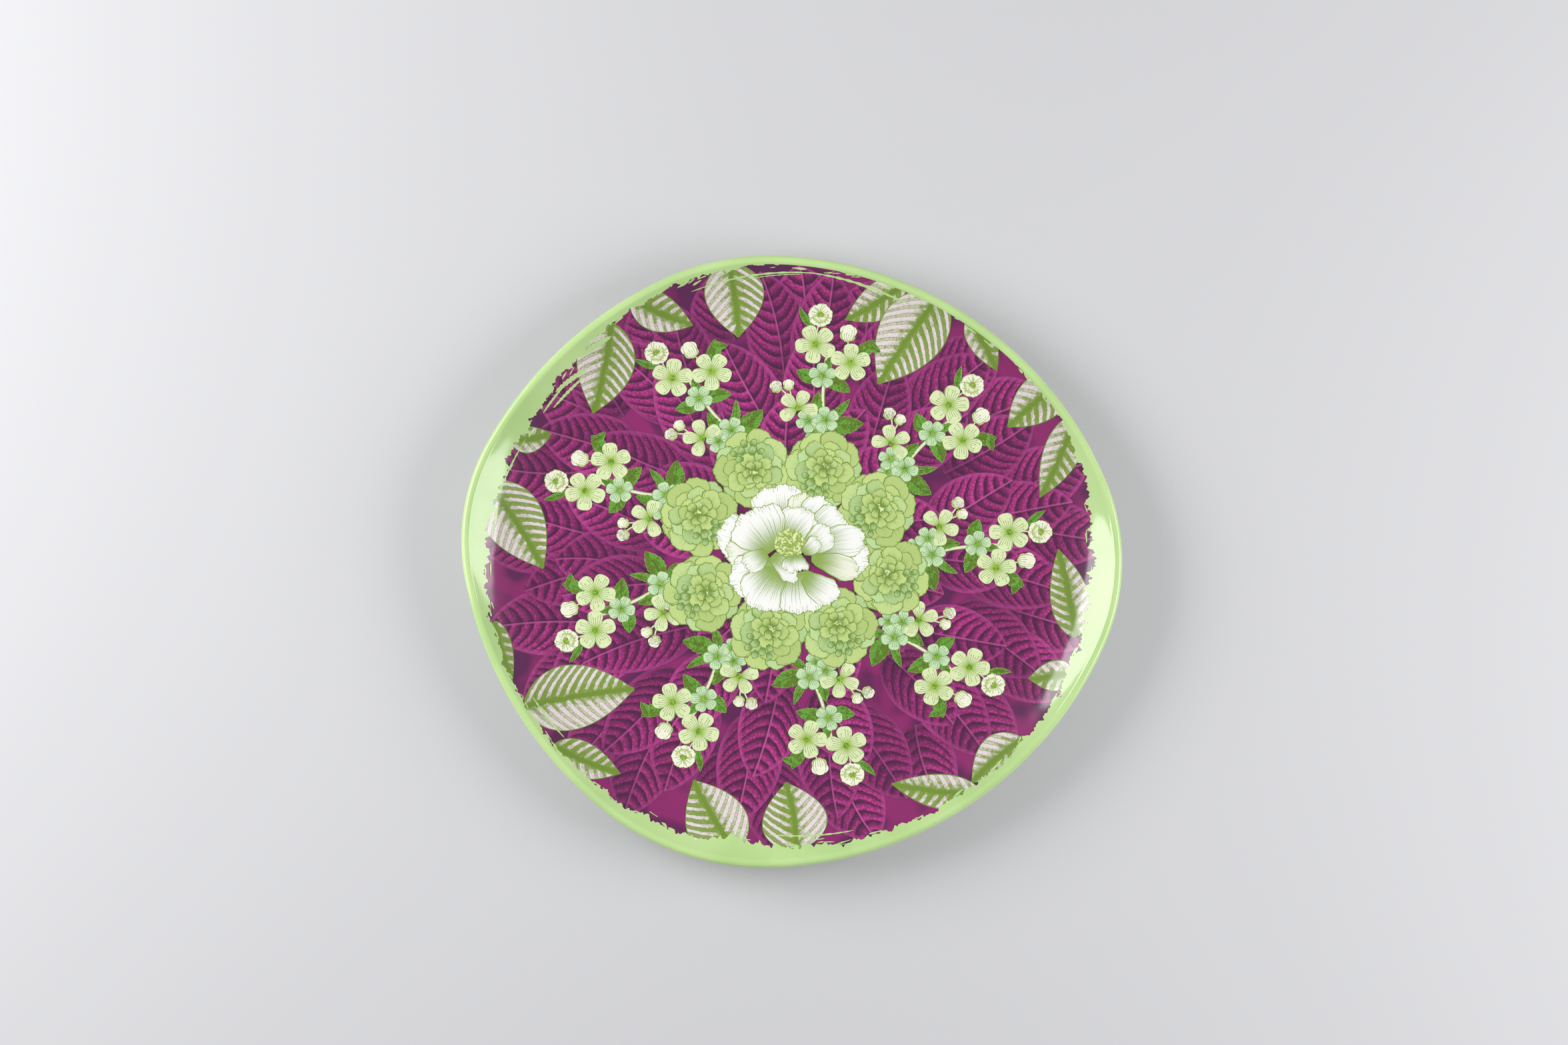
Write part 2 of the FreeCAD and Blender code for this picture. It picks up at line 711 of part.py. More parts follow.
def make_spray_prisms():
    """Nine alike prisms with a blossom spray's outline, round the pattern."""
    body = new_body("spray_prisms")
    place_on_pattern(body)
    angle = size("spray_first_angle")
    features = []

    def at(along, across=ZERO):
        return turned(along, across, angle)

    def spot(name):
        return at(size(f"{name}_along"), size(f"{name}_across"))

    def flower(name, kind, count):
        sketch = new_sketch(body, f"{name}_outline", "XY_Plane")
        reach = size(f"{kind}_petal_reach")
        draw_petals(sketch, spot(name), reach, size(f"{kind}_petal_radius"), count, angle)
        features.append(pad_up(body, sketch, name, size("prism_height")))

    stem = new_sketch(body, "stem_outline", "XY_Plane")
    draw_leaf(stem, at(size("stem_start")), at(size("stem_end")), size("stem_bow"))
    features.append(pad_up(body, stem, "stem", size("prism_height")))
    flower("left_blossom", "blossom", PETALS_PER_BLOSSOM)
    flower("right_blossom", "blossom", PETALS_PER_BLOSSOM)
    flower("inner_blossom", "blossom", PETALS_PER_BLOSSOM)
    flower("mint_blossom", "mint", PETALS_PER_BLOSSOM)
    flower("left_bud", "bud", BUD_LOBES)
    flower("right_bud", "bud", BUD_LOBES)
    repeat_round(body, features, "all_sprays", SPRAYS)
    return body


def make_rim_leaf_prisms():
    """One prism for each tapered leaf at the rim."""
    body = new_body("rim_leaf_prisms")
    for number, (tip, stalk_end, bow) in enumerate(RIM_LEAVES, start=1):
        sketch = new_sketch(body, f"leaf_outline_{number}", "XY_Plane")
        ends = [(LENGTH / 2 * across, WIDTH / 2 * up) for across, up in (tip, stalk_end)]
        draw_leaf(sketch, ends[0], ends[1], as_size(bow))
        pad_up(body, sketch, f"leaf_{number}", size("prism_height"))
    doc.recompute()
    return body


def make_print_film():
    """The film that the sprays and rim leaves are cut from."""
    below = COAT + PRINT
    return make_face_layer(new_body("print_film"), "print_film", below, PRINT, size("band_width"))


def common(name, base, tool):
    shape = doc.addObject("Part::Common", name)
    shape.Label = name
    shape.Base = base
    shape.Tool = tool
    return shape


def cut(name, base, tool):
    shape = doc.addObject("Part::Cut", name)
    shape.Label = name
    shape.Base = base
    shape.Tool = tool
    return shape


def make_blossom_sprays(film, sprays):
    return common("blossom_sprays", film, sprays)


def make_rim_leaves(film, leaves, sprays):
    return cut("rim_leaves", common("whole_rim_leaves", film, leaves), sprays)


def make_leaf_ground():
    return make_face_layer(new_body("leaf_ground"), "leaf_ground", COAT, PRINT, size("band_width"))


def make_peony():
    """The flower in the middle: one ruffled outline."""
    body = new_body("peony")
    place_on_pattern(body)
    sketch = new_sketch(body, "peony_outline", "XY_Plane", FLOOR + COAT + PRINT)
    draw_petals(sketch, (ZERO, ZERO), size("peony_petal_reach"), size("peony_petal_radius"),
                PETALS_PER_PEONY, ZERO)
    pad_up(body, sketch, "peony_film", PRINT)
    doc.recompute()
    return body


def make_wreath_flowers(peony):
    """Eight alike double flowers in a ring, cut back where the peony covers them."""
    body = new_body("whole_wreath_flowers")
    place_on_pattern(body)
    angle = size("wreath_first_angle")
    sketch = new_sketch(body, "wreath_flower_outline", "XY_Plane", FLOOR + COAT + PRINT)
    draw_petals(sketch, turned(size("wreath_radius"), ZERO, angle), size("wreath_petal_reach"),
                size("wreath_petal_radius"), PETALS_PER_WREATH_FLOWER, angle)
    flower = pad_up(body, sketch, "wreath_flower", PRINT)
    repeat_round(body, [flower], "all_wreath_flowers", WREATH_FLOWERS)
    return cut("wreath_flowers", body, peony)


# ------------------------------------------------------------ all together

film = make_print_film()
spray_prisms = make_spray_prisms()
peony = make_peony()
sub_parts = [
    make_ceramic_body(),
    make_back_coat(),
    make_face_coat(),
    make_rim_band(),
    make_leaf_ground(),
    make_rim_leaves(film, make_rim_leaf_prisms(), spray_prisms),
    make_blossom_sprays(film, spray_prisms),
    make_wreath_flowers(peony),
    peony,
]
doc.recompute()

for item in doc.Objects:
    if "Invalid" in item.State or "Error" in item.State:
        raise RuntimeError(f"{item.Label}: {item.State}")
for item in sub_parts:
    if item.Shape.isNull() or not item.Shape.isValid():
        raise RuntimeError(f"{item.Label} has no valid shape")

os.makedirs("parts", exist_ok=True)
for item in sub_parts:
    item.Shape.exportStep(f"parts/{item.Label}.step")
    print(item.Label, len(item.Shape.Solids), "solids", round(item.Shape.Volume), "mm3")
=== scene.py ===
import math

import bpy
import numpy as np
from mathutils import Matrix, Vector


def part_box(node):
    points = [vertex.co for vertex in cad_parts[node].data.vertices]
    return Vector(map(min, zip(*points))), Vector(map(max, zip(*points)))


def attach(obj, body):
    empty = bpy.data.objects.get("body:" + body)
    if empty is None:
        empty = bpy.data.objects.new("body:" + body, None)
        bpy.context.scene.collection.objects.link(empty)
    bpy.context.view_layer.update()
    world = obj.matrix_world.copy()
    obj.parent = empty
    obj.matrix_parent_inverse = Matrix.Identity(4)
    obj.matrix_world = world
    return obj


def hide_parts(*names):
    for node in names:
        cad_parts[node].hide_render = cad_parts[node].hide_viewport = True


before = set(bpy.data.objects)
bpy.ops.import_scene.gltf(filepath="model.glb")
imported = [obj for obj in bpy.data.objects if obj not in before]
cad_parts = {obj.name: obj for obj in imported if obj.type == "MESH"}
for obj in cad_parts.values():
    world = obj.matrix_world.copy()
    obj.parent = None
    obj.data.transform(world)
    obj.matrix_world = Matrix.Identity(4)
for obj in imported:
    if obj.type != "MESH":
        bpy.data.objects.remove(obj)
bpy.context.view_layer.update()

# ---------------------------------------------------------------- the ware
# One fired piece of white china: a flat floor, a wall that rises in one sweep,
# a rolled lip and a foot ring. The clay is bare only where the foot ring stands.
ware_low, ware_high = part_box("rim_band")
LENGTH = (ware_high.x - ware_low.x) * 1000
WIDTH = (ware_high.y - ware_low.y) * 1000
HEIGHT = ware_high.z * 1000
FLOOR = 7.6
WALL_RUN = 52.0
WALL = 4.4
GLAZE = 0.3
CORNER_RADII = [110.0, 138.0, 113.0, 138.0]
SIDE_RADII = [216.0, 204.0, 200.0, 216.0]
corner_centres = np.array([
    (CORNER_RADII[0] - LENGTH / 2, 11.0),
    (-15.0, CORNER_RADII[1] - WIDTH / 2),
    (LENGTH / 2 - CORNER_RADII[2], 0.0),
    (-12.0, WIDTH / 2 - CORNER_RADII[3]),
])


def side_centre(side):
    """The middle of the long arc that both neighbouring corners touch."""
    first, second = corner_centres[side], corner_centres[(side + 1) % 4]
    first_gap = SIDE_RADII[side] - CORNER_RADII[side]
    second_gap = SIDE_RADII[side] - CORNER_RADII[(side + 1) % 4]
    apart = np.linalg.norm(second - first)
    way = (second - first) / apart
    along = (first_gap ** 2 - second_gap ** 2 + apart ** 2) / (2 * apart)
    beside = math.sqrt(first_gap ** 2 - along ** 2)
    return first + way * along + np.array([-way[1], way[0]]) * beside


side_centres = [side_centre(side) for side in range(4)]


def bearing(vector):
    """The angle that a flat vector points in."""
    return math.atan2(vector[1], vector[0])


rim_arcs = []
for i in range(4):
    after = bearing(corner_centres[i] - side_centres[i])
    before = bearing(corner_centres[i] - side_centres[i - 1])
    following = bearing(corner_centres[(i + 1) % 4] - side_centres[i])
    rim_arcs.append((corner_centres[i], CORNER_RADII[i], before, (after - before) % (2 * math.pi)))
    rim_arcs.append((side_centres[i], SIDE_RADII[i], after, (following - after) % (2 * math.pi)))


LIP_IN = WALL / 2 + GLAZE
LIP_UP = HEIGHT - LIP_IN
lip_run = WALL_RUN - LIP_IN
lip_rise = LIP_UP - FLOOR
FACE_RADIUS = (lip_run ** 2 + lip_rise ** 2 - WALL ** 2 / 4) / (2 * lip_rise + WALL)
LIP_LEAN = math.asin(lip_run / (FACE_RADIUS + WALL / 2))
WALL_TOP = WALL_RUN - FACE_RADIUS * math.sin(LIP_LEAN)


def linear(red, green, blue):
    """A colour as a glaze chart gives it, made ready for the shader."""
    scaled = [value / 255 for value in (red, green, blue)]
    return (*[v / 12.92 if v <= 0.04045 else ((v + 0.055) / 1.055) ** 2.4 for v in scaled], 1.0)


class Mark:
    """A number that varies over a surface. Sums and steps on it add nodes."""

    def __init__(self, tree, socket):
        self.tree, self.socket = tree, socket

    def maths(self, kind, *others):
        """One sum on this mark, with other marks or plain numbers."""
        node = self.tree.nodes.new("ShaderNodeMath")
        node.operation = kind
        for number, value in enumerate((self, *others)):
            if isinstance(value, Mark):
                self.tree.links.new(value.socket, node.inputs[number])
            else:
                node.inputs[number].default_value = value
        return Mark(self.tree, node.outputs[0])

    def __add__(self, other):
        return self.maths("ADD", other)

    def __sub__(self, other):
        return self.maths("SUBTRACT", other)

    def __mul__(self, other):
        return self.maths("MULTIPLY", other)

    def __truediv__(self, other):
        return self.maths("DIVIDE", other)

    def other_way(self):
        """1 where it was 0, and 0 where it was 1."""
        return self.maths("MULTIPLY_ADD", -1.0, 1.0)

    def step(self, low, high):
        """Smoothly from 0 at low to 1 at high."""
        node = self.tree.nodes.new("ShaderNodeMapRange")
        node.interpolation_type = "SMOOTHSTEP"
        for number, value in enumerate((self, low, high)):
            if isinstance(value, Mark):
                self.tree.links.new(value.socket, node.inputs[number])
            else:
                node.inputs[number].default_value = value
        return Mark(self.tree, node.outputs[0])

    def band(self, middle, half, soft):
        """1 within half of a middle, fading out over a soft edge."""
        return (self - middle).maths("ABSOLUTE").step(half, half + soft).other_way()


class Finish:
    """A material under a clear gloss, and the tools to work its colour out."""

    def __init__(self, name, gloss=1.0, roughness=0.42):
        self.material = bpy.data.materials.new(name)
        self.material.use_nodes = True
        self.tree = self.material.node_tree
        self.surface = self.tree.nodes["Principled BSDF"]
        self.surface.inputs["Roughness"].default_value = roughness
        self.surface.inputs["Coat Weight"].default_value = gloss
        self.surface.inputs["Coat Roughness"].default_value = 0.1
        self.surface.inputs["Coat IOR"].default_value = 1.52
        self.surface.inputs["Specular IOR Level"].default_value = 0.12
        coordinates = self.tree.nodes.new("ShaderNodeTexCoord")
        self.place = coordinates.outputs["Object"]

    def marks(self, name):
        """The three numbers of a mark that the piece carries."""
        attribute = self.tree.nodes.new("ShaderNodeAttribute")
        attribute.attribute_name = name
        parts = self.tree.nodes.new("ShaderNodeSeparateXYZ")
        self.tree.links.new(attribute.outputs["Vector"], parts.inputs[0])
        return [Mark(self.tree, socket) for socket in parts.outputs]

    def at(self, x, y):
        """A vector from two marks, for a texture to be read at."""
        node = self.tree.nodes.new("ShaderNodeCombineXYZ")
        for number, value in enumerate((x, y)):
            self.tree.links.new(value.socket, node.inputs[number])
        return node.outputs[0]

    def texture(self, kind, scale, where=None, output="Fac", **settings):
        """One procedural texture, read where the ware is or at a given vector."""
        node = self.tree.nodes.new(kind)
        self.tree.links.new(where or self.place, node.inputs["Vector"])
        if "Scale" in node.inputs:
            node.inputs["Scale"].default_value = scale
        for setting, value in settings.items():
            if setting == "detail":
                node.inputs["Detail"].default_value = value
            else:
                setattr(node, setting, value)
        return Mark(self.tree, node.outputs[output])

    def grain(self, scale, detail=2.0):
        """Soft noise, the finer the larger its scale."""
        return self.texture("ShaderNodeTexNoise", scale, detail=detail)

    def chance(self, where):
        """An even random number for each cell."""
        return self.texture("ShaderNodeTexWhiteNoise", 1.0, where, output="Value")

    def crackle(self, scale):
        """How far each place is from the nearest crack of an even network."""
        return self.texture("ShaderNodeTexVoronoi", scale, output="Distance",
                            feature="DISTANCE_TO_EDGE")

    def blend(self, amount, first, second):
        """From the first colour to the second by an amount."""
        node = self.tree.nodes.new("ShaderNodeMix")
        node.data_type = "RGBA"
        if isinstance(amount, Mark):
            self.tree.links.new(amount.socket, node.inputs["Factor"])
        else:
            node.inputs["Factor"].default_value = amount
        for number, value in ((6, first), (7, second)):
            if isinstance(value, tuple):
                node.inputs[number].default_value = value
            else:
                self.tree.links.new(value, node.inputs[number])
        return node.outputs[2]

    def paint(self, colour):
        """Set the colour, and the slight waves that a fired gloss has."""
        self.tree.links.new(colour, self.surface.inputs["Base Color"])
        waves = self.grain(55.0, 1.0) + self.grain(650.0, 1.0) * 0.02
        bump = self.tree.nodes.new("ShaderNodeBump")
        bump.inputs["Strength"].default_value = 0.12
        bump.inputs["Distance"].default_value = 0.0012
        self.tree.links.new(waves.socket, bump.inputs["Height"])
        self.tree.links.new(bump.outputs[0], self.surface.inputs["Coat Normal"])
        return self.material


bisque = Finish("bare_china", gloss=0.0, roughness=0.75)
clay_speck = bisque.grain(900.0, 4.0).step(0.35, 0.7)
bisque_material = bisque.paint(bisque.blend(clay_speck, linear(247, 243, 236), linear(238, 232, 222)))
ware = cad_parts["ceramic_body"]
ware.data.materials.clear()
ware.data.materials.append(bisque_material)

# --------------------------------------------------------- the white back
# A thick white glaze over the whole underside, poured before the second firing.
# It is wiped off the last millimetre and a half of the foot ring, so it stops there.
FOOT = WALL_RUN + 6.0
FOOT_WIDTH = 4.6
FOOT_HEIGHT = 3.2
FOOT_ROUNDING = 1.2
BARE = 1.5
THINNING = 0.2
FEATHER = 0.12
SUNK = 0.3
BAND_TUCK = 6.0
ROUND_STEPS = 540


def walk_rim(steps):
    """Points spaced evenly round the rim, and the way inwards at each."""
    lengths = np.array([radius * turn for _, radius, _, turn in rim_arcs])
    ends = np.cumsum(lengths)
    places = (np.arange(steps) + 0.5) * ends[-1] / steps
    points, inward = np.zeros((steps, 2)), np.zeros((steps, 2))
    for number, place in enumerate(places):
        arc = int(np.searchsorted(ends, place))
        centre, radius, start, _ = rim_arcs[arc]
        angle = start + (place - ends[arc] + lengths[arc]) / radius
        inward[number] = -math.cos(angle), -math.sin(angle)
        points[number] = centre - inward[number] * radius
    return points, inward


def as_mesh(name, points, faces, marks=None):
    """A mesh from points in millimetres, with any marks that its colours are worked out from."""
    mesh = bpy.data.meshes.new(name)
    sizes = np.concatenate([np.full(len(block), block.shape[1]) for block in faces])
    corners = np.concatenate([block.ravel() for block in faces])
    mesh.vertices.add(len(points))
    mesh.vertices.foreach_set("co", (points / 1000).astype(np.float32).ravel())
    mesh.loops.add(len(corners))
    mesh.loops.foreach_set("vertex_index", corners.astype(np.int32))
    mesh.polygons.add(len(sizes))
    mesh.polygons.foreach_set("loop_start", (np.cumsum(sizes) - sizes).astype(np.int32))
    mesh.polygons.foreach_set("use_smooth", np.ones(len(sizes), bool))
    for mark, values in (marks or {}).items():
        layer = mesh.attributes.new(mark, "FLOAT_VECTOR", "POINT")
        layer.data.foreach_set("vector", values.astype(np.float32).ravel())
    mesh.update(calc_edges=True)
    return mesh


def sweep_round(name, sections):
    """A closed ring: one closed section, given at every step round the rim."""
    steps, size = sections.shape[:2]
    points, inward = walk_rim(steps)
    plan = points[:, None, :] + inward[:, None, :] * sections[:, :, :1]
    solid = np.concatenate([plan, sections[:, :, 1:]], axis=2).reshape(-1, 3)
    row, column = np.meshgrid(np.arange(steps), np.arange(size), indexing="ij")
    next_row, next_column = (row + 1) % steps, (column + 1) % size
    faces = np.stack([row * size + column, next_row * size + column,
                      next_row * size + next_column, row * size + next_column], axis=-1).reshape(-1, 4)
    first = sections[0]
    turned = np.roll(first, -1, axis=0)
    if np.sum(first[:, 0] * turned[:, 1] - first[:, 1] * turned[:, 0]) > 0:
        faces = faces[:, ::-1]
    mesh = as_mesh(name, solid, [faces])
    mesh.set_sharp_from_angle(angle=math.radians(35))
    return mesh


def stack_rings(name, rings, first_pole, last_pole, sharp):
    """A closed mesh from rings of points, each end closed by a fan about its pole."""
    steps, last = len(rings[0]), (len(rings) - 1) * len(rings[0])
    solid = np.concatenate(rings + [np.array([first_pole, last_pole])])
    here = np.arange(steps)
    after = (here + 1) % steps
    quads = [np.stack([ring * steps + here, (ring + 1) * steps + here,
                       (ring + 1) * steps + after, ring * steps + after], axis=1)
             for ring in range(len(rings) - 1)]
    pole = np.full(steps, len(rings) * steps)
    fans = [np.stack([pole, here, after], axis=1), np.stack([pole + 1, last + after, last + here], axis=1)]
    mesh = as_mesh(name, solid, quads + fans)
    mesh.set_sharp_from_angle(angle=math.radians(sharp))
    return mesh


def put(name, mesh, material, node):
    """Put a finished mesh in the scene as a piece that stands for a node of the frame."""
    mesh.materials.clear()
    mesh.materials.append(material)
    piece = bpy.data.objects.new(name, mesh)
    bpy.context.scene.collection.objects.link(piece)
    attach(piece, "root")
    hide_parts(node)
    return piece


def wall_arc(radius, first, last, steps):
    """Part of a section: an arc about the wall's own centre, between two insets."""
    leans = np.linspace(math.asin((WALL_RUN - first) / radius),
                        math.asin((WALL_RUN - last) / radius), steps)
    return [(WALL_RUN - radius * math.sin(lean), FLOOR + FACE_RADIUS - radius * math.cos(lean))
            for lean in leans]


BACK_RADIUS = FACE_RADIUS + WALL
quarter = np.linspace(0, math.pi / 2, 7)
section = wall_arc(BACK_RADIUS + GLAZE, BAND_TUCK, WALL_RUN, 26)
section += [(FOOT - GLAZE - FOOT_ROUNDING * (1 - math.sin(t)),
             FOOT_HEIGHT - GLAZE - FOOT_ROUNDING * (1 - math.cos(t))) for t in quarter]
section += [(FOOT - GLAZE, BARE + THINNING), (FOOT - FEATHER, BARE), (FOOT + SUNK, BARE),
            (FOOT + SUNK, FOOT_HEIGHT + SUNK)]
section += wall_arc(BACK_RADIUS - SUNK, WALL_RUN, BAND_TUCK, 20)
outside_mesh = sweep_round("back_outside", np.repeat(np.array([section]), 720, axis=0))

inner = FOOT + FOOT_WIDTH
profile = [(inner - SUNK, FOOT_HEIGHT + SUNK), (inner - SUNK, BARE), (inner + FEATHER, BARE),
           (inner + GLAZE, BARE + THINNING)]
profile += [(inner + GLAZE + FOOT_ROUNDING * (1 - math.cos(t)),
             FOOT_HEIGHT - GLAZE - FOOT_ROUNDING * (1 - math.sin(t))) for t in quarter]
points, inward = walk_rim(ROUND_STEPS)
centre = points.mean(axis=0)
rings = [np.column_stack([points + inward * inset, np.full(ROUND_STEPS, up)]) for inset, up in profile]
flat = rings[-1][:, :2]
rings += [np.column_stack([centre + (flat - centre) * share, np.full(ROUND_STEPS, FOOT_HEIGHT - GLAZE)])
          for share in (0.75, 0.5, 0.25)]
inside_mesh = stack_rings("back_inside", rings, (*centre, FOOT_HEIGHT + SUNK),
                          (*centre, FOOT_HEIGHT - GLAZE), 35)

white = Finish("white_back_glaze")
pooling = white.grain(38.0, 3.0).step(0.3, 0.75)
white_material = white.paint(white.blend(pooling, linear(246, 246, 243), linear(237, 239, 236)))
put("white_back_wall", outside_mesh, white_material, "back_coat")
put("white_back_middle", inside_mesh, white_material, "back_coat")

# -------------------------------------------------------- the face's glaze
# A clear gloss over the white ware, under the printed transfers. It covers the
# face from the lip inwards, and shows only as the gloss at the prints' edges.


def from_rim(places):
    """How far in from the rim each place is, and the way inwards there."""
    inset = np.full(len(places), np.inf)
    inward = np.zeros((len(places), 2))
    for number, (centre, radius, start, turn) in enumerate(rim_arcs):
        away = places - centre
        reach = np.maximum(np.linalg.norm(away, axis=1), 1e-6)
        here = radius - reach
        chosen = (np.arctan2(away[:, 1], away[:, 0]) - start) % (2 * math.pi) < turn
        if number % 2:
            chosen = chosen & (here < inset)
        inset[chosen] = here[chosen]
        inward[chosen] = -(away / reach[:, None])[chosen]
    return inset, inward


def face_section(inset, lift):
    """The face's section: place in from the rim, height, and its lean inwards and up."""
    lean_in = np.clip((WALL_RUN - inset) / FACE_RADIUS, 0, 0.9)
    up = np.sqrt(1 - lean_in ** 2)
    height = FLOOR + FACE_RADIUS * (1 - up)
    lip_lean = np.clip((inset - LIP_IN) / (WALL / 2), -1, 1)
    lip_up = np.sqrt(1 - lip_lean ** 2)
    on_lip = inset < WALL_TOP
    lean_in = np.where(on_lip, lip_lean, lean_in)
    height = np.where(on_lip, LIP_UP + WALL / 2 * lip_up, height)
    up = np.where(on_lip, lip_up, up)
    return lean_in * lift, height + up * lift, lean_in, up


def lay_on_face(flat):
    """Carry flat points, whose height is how far they lie above the ware, on to its face."""
    inset, inward = from_rim(flat[:, :2])
    shift, height, lean_in, up = face_section(inset, flat[:, 2])
    laid = np.column_stack([flat[:, :2] + inward * shift[:, None], height])
    facing = np.column_stack([inward * lean_in[:, None], up])
    return laid, facing


def bowl_film(name, low, high, edge):
    """A closed film over the whole face between two depths, from an edge near the lip."""
    points, inward = walk_rim(ROUND_STEPS)
    middle = points.mean(axis=0)
    insets = np.concatenate([np.linspace(edge, WALL_RUN, 30), [WALL_RUN + 4]])
    plans = [points + inward * inset for inset in insets]
    plans += [middle + (plans[-1] - middle) * share for share in (0.8, 0.6, 0.4, 0.2)]
    rings = []
    for plan, lift in [(plan, high) for plan in plans[::-1]] + [(plan, low) for plan in plans]:
        rings.append(lay_on_face(np.column_stack([plan, np.full(ROUND_STEPS, lift)]))[0])
    return stack_rings(name, rings, (*middle, FLOOR + high), (*middle, FLOOR + low), 50)


clear = Finish("face_glaze")
clear_colour = clear.blend(clear.grain(60.0, 2.0), linear(244, 244, 240), linear(238, 240, 236))
clear_material = clear.paint(clear_colour)
put("clear_face_glaze", bowl_film("clear_face", 0.0, GLAZE, WALL_TOP + 0.05), clear_material,
    "face_coat")

# ---------------------------------------------------- the ground of leaves
# Broad leaves printed in magenta and plum all over the face. Their tips point to
# the rim, and each ring of leaves lies over the one outside it, like shingles.
MIDDLE = np.array([1.0, 8.0])
FILM = 0.06
SHAPE_STEP = 0.0013
SHAPE_STEPS = 7


class Transfer:
    """Printed shapes gathered flat, each a thin closed film with its own marks.

    Each lies a hair above or below the last, so that no two share a plane.
    """

    def __init__(self):
        self.points, self.faces, self.pattern, self.measure = [], [], [], []
        self.count = 0

    def add(self, x, y, lift, across, along, edge, share_across, share_along, tone):
        rows, columns = x.shape
        if (x[0, 1] - x[0, 0]) * (y[1, 0] - y[0, 0]) < (y[0, 1] - y[0, 0]) * (x[1, 0] - x[0, 0]):
            x, y, across, edge, share_across = (a[:, ::-1] for a in (x, y, across, edge, share_across))
        size = rows * columns
        own_lift = lift + SHAPE_STEP * (len(self.points) // 2 % SHAPE_STEPS)
        top = np.column_stack([x.ravel(), y.ravel(), np.full(size, own_lift)])
        bottom = top - np.array([0, 0, FILM])
        index = np.arange(size).reshape(rows, columns) + self.count
        quads = np.stack([index[:-1, :-1], index[:-1, 1:], index[1:, 1:], index[1:, :-1]], axis=-1)
        quads = quads.reshape(-1, 4)
        loop = np.concatenate([index[0, :-1], index[:-1, -1], index[-1, :0:-1], index[:0:-1, 0]])
        ahead = np.roll(loop, -1)
        skirt = np.stack([loop, loop + size, ahead + size, ahead], axis=1)
        self.points += [top, bottom]
        self.faces += [quads, quads[:, ::-1] + size, skirt]
        pattern = np.column_stack([across.ravel(), along.ravel(), edge.ravel()])
        measure = np.column_stack([share_across.ravel(), share_along.ravel(), np.full(size, tone)])
        self.pattern += [pattern, pattern]
        self.measure += [measure, measure]
        self.count += 2 * size

    def mesh(self, name):
        marks = {"pattern": np.concatenate(self.pattern), "measure": np.concatenate(self.measure)}
        return as_mesh(name, np.concatenate(self.points), self.faces, marks)


def blade(sheet, foot, tip, half, lift, rise=0.6, fall=0.9, bend=0.0, tone=0.5, teeth=0.0,
          teeth_count=9, columns=9, rows=17, start=0.04, round_tip=False):
    """A leaf or petal: a blade from its foot to its tip, widest part-way along."""
    foot, tip = np.array(foot, float), np.array(tip, float)
    length = np.linalg.norm(tip - foot)
    way = (tip - foot) / length
    side = np.array([-way[1], way[0]])
    v = np.linspace(0, 1, rows)
    if round_tip:
        v = (1 - np.cos(math.pi * v)) / 2
    peak = rise / (rise + fall)
    top = peak ** rise * (1 - peak) ** fall
    width = half * np.maximum(v ** rise * (1 - v) ** fall / top, start)
    u = np.linspace(-1, 1, columns)
    share_across, share_along = np.meshgrid(u, v)
    saw = (share_along * teeth_count) % 1.0
    reach = width[:, None] * (1 + teeth * saw * np.abs(share_across) ** 3)
    across = share_across * reach
    bow = bend * 4 * v * (1 - v)
    x = foot[0] + way[0] * length * share_along + side[0] * (across + bow[:, None])
    y = foot[1] + way[1] * length * share_along + side[1] * (across + bow[:, None])
    along = share_along * length
    edge = np.minimum((1 - np.abs(share_across)) * reach, np.minimum(along, length - along) + 0.05)
    sheet.add(x, y, lift, across, along, edge, share_across, share_along, tone)


def lay_print(name, mesh, material, node, flattened=1.0):
    """Lay a flat transfer on the curved face and give it the face's own smoothness."""
    count = len(mesh.vertices)
    flat = np.zeros(count * 3, np.float32)
    mesh.vertices.foreach_get("co", flat)
    flat = flat.reshape(-1, 3).astype(float) * 1000
    flat[:, 1] = MIDDLE[1] + (flat[:, 1] - MIDDLE[1]) * flattened
    polygons = len(mesh.polygons)
    sizes, normals = np.zeros(polygons, np.int32), np.zeros(polygons * 3, np.float32)
    corners = np.zeros(len(mesh.loops), np.int32)
    mesh.polygons.foreach_get("loop_total", sizes)
    mesh.polygons.foreach_get("normal", normals)
    mesh.loops.foreach_get("vertex_index", corners)
    facing_up = np.repeat(normals.reshape(-1, 3)[:, 2], sizes)
    inset, inward = from_rim(flat[:, :2])
    flat[:, :2] += inward * np.clip(WALL_TOP + 0.3 - inset, 0, None)[:, None]
    laid, facing = lay_on_face(flat)
    mesh.vertices.foreach_set("co", (laid / 1000).astype(np.float32).ravel())
    mesh.update()
    mesh.polygons.foreach_get("normal", normals)
    split = np.repeat(normals.reshape(-1, 3), sizes, axis=0)
    split = np.where(facing_up[:, None] > 0.5, facing[corners], split)
    split = np.where(facing_up[:, None] < -0.5, -facing[corners], split)
    mesh.normals_split_custom_set(split.tolist())
    return put(name, mesh, material, node)


def heading(degrees):
    """A step of one millimetre in a direction."""
    return np.array([math.cos(math.radians(degrees)), math.sin(math.radians(degrees))])


def round_middle(degrees, reach):
    """A place on the pattern, by its angle and distance from the pattern's middle."""
    return MIDDLE + reach * heading(degrees)


PLUM = linear(88, 22, 76)
MAGENTA = linear(192, 50, 138)
PALE_MARGIN = linear(184, 66, 142)

ground = Finish("plum_ground")
lump = ground.grain(45.0, 1.0).step(0.42, 0.58)
put("plum_ground", bowl_film("plum_base", GLAZE, GLAZE + 0.03, WALL_TOP + 0.1),
    ground.paint(ground.blend(lump, PLUM, linear(136, 30, 100))), "leaf_ground")

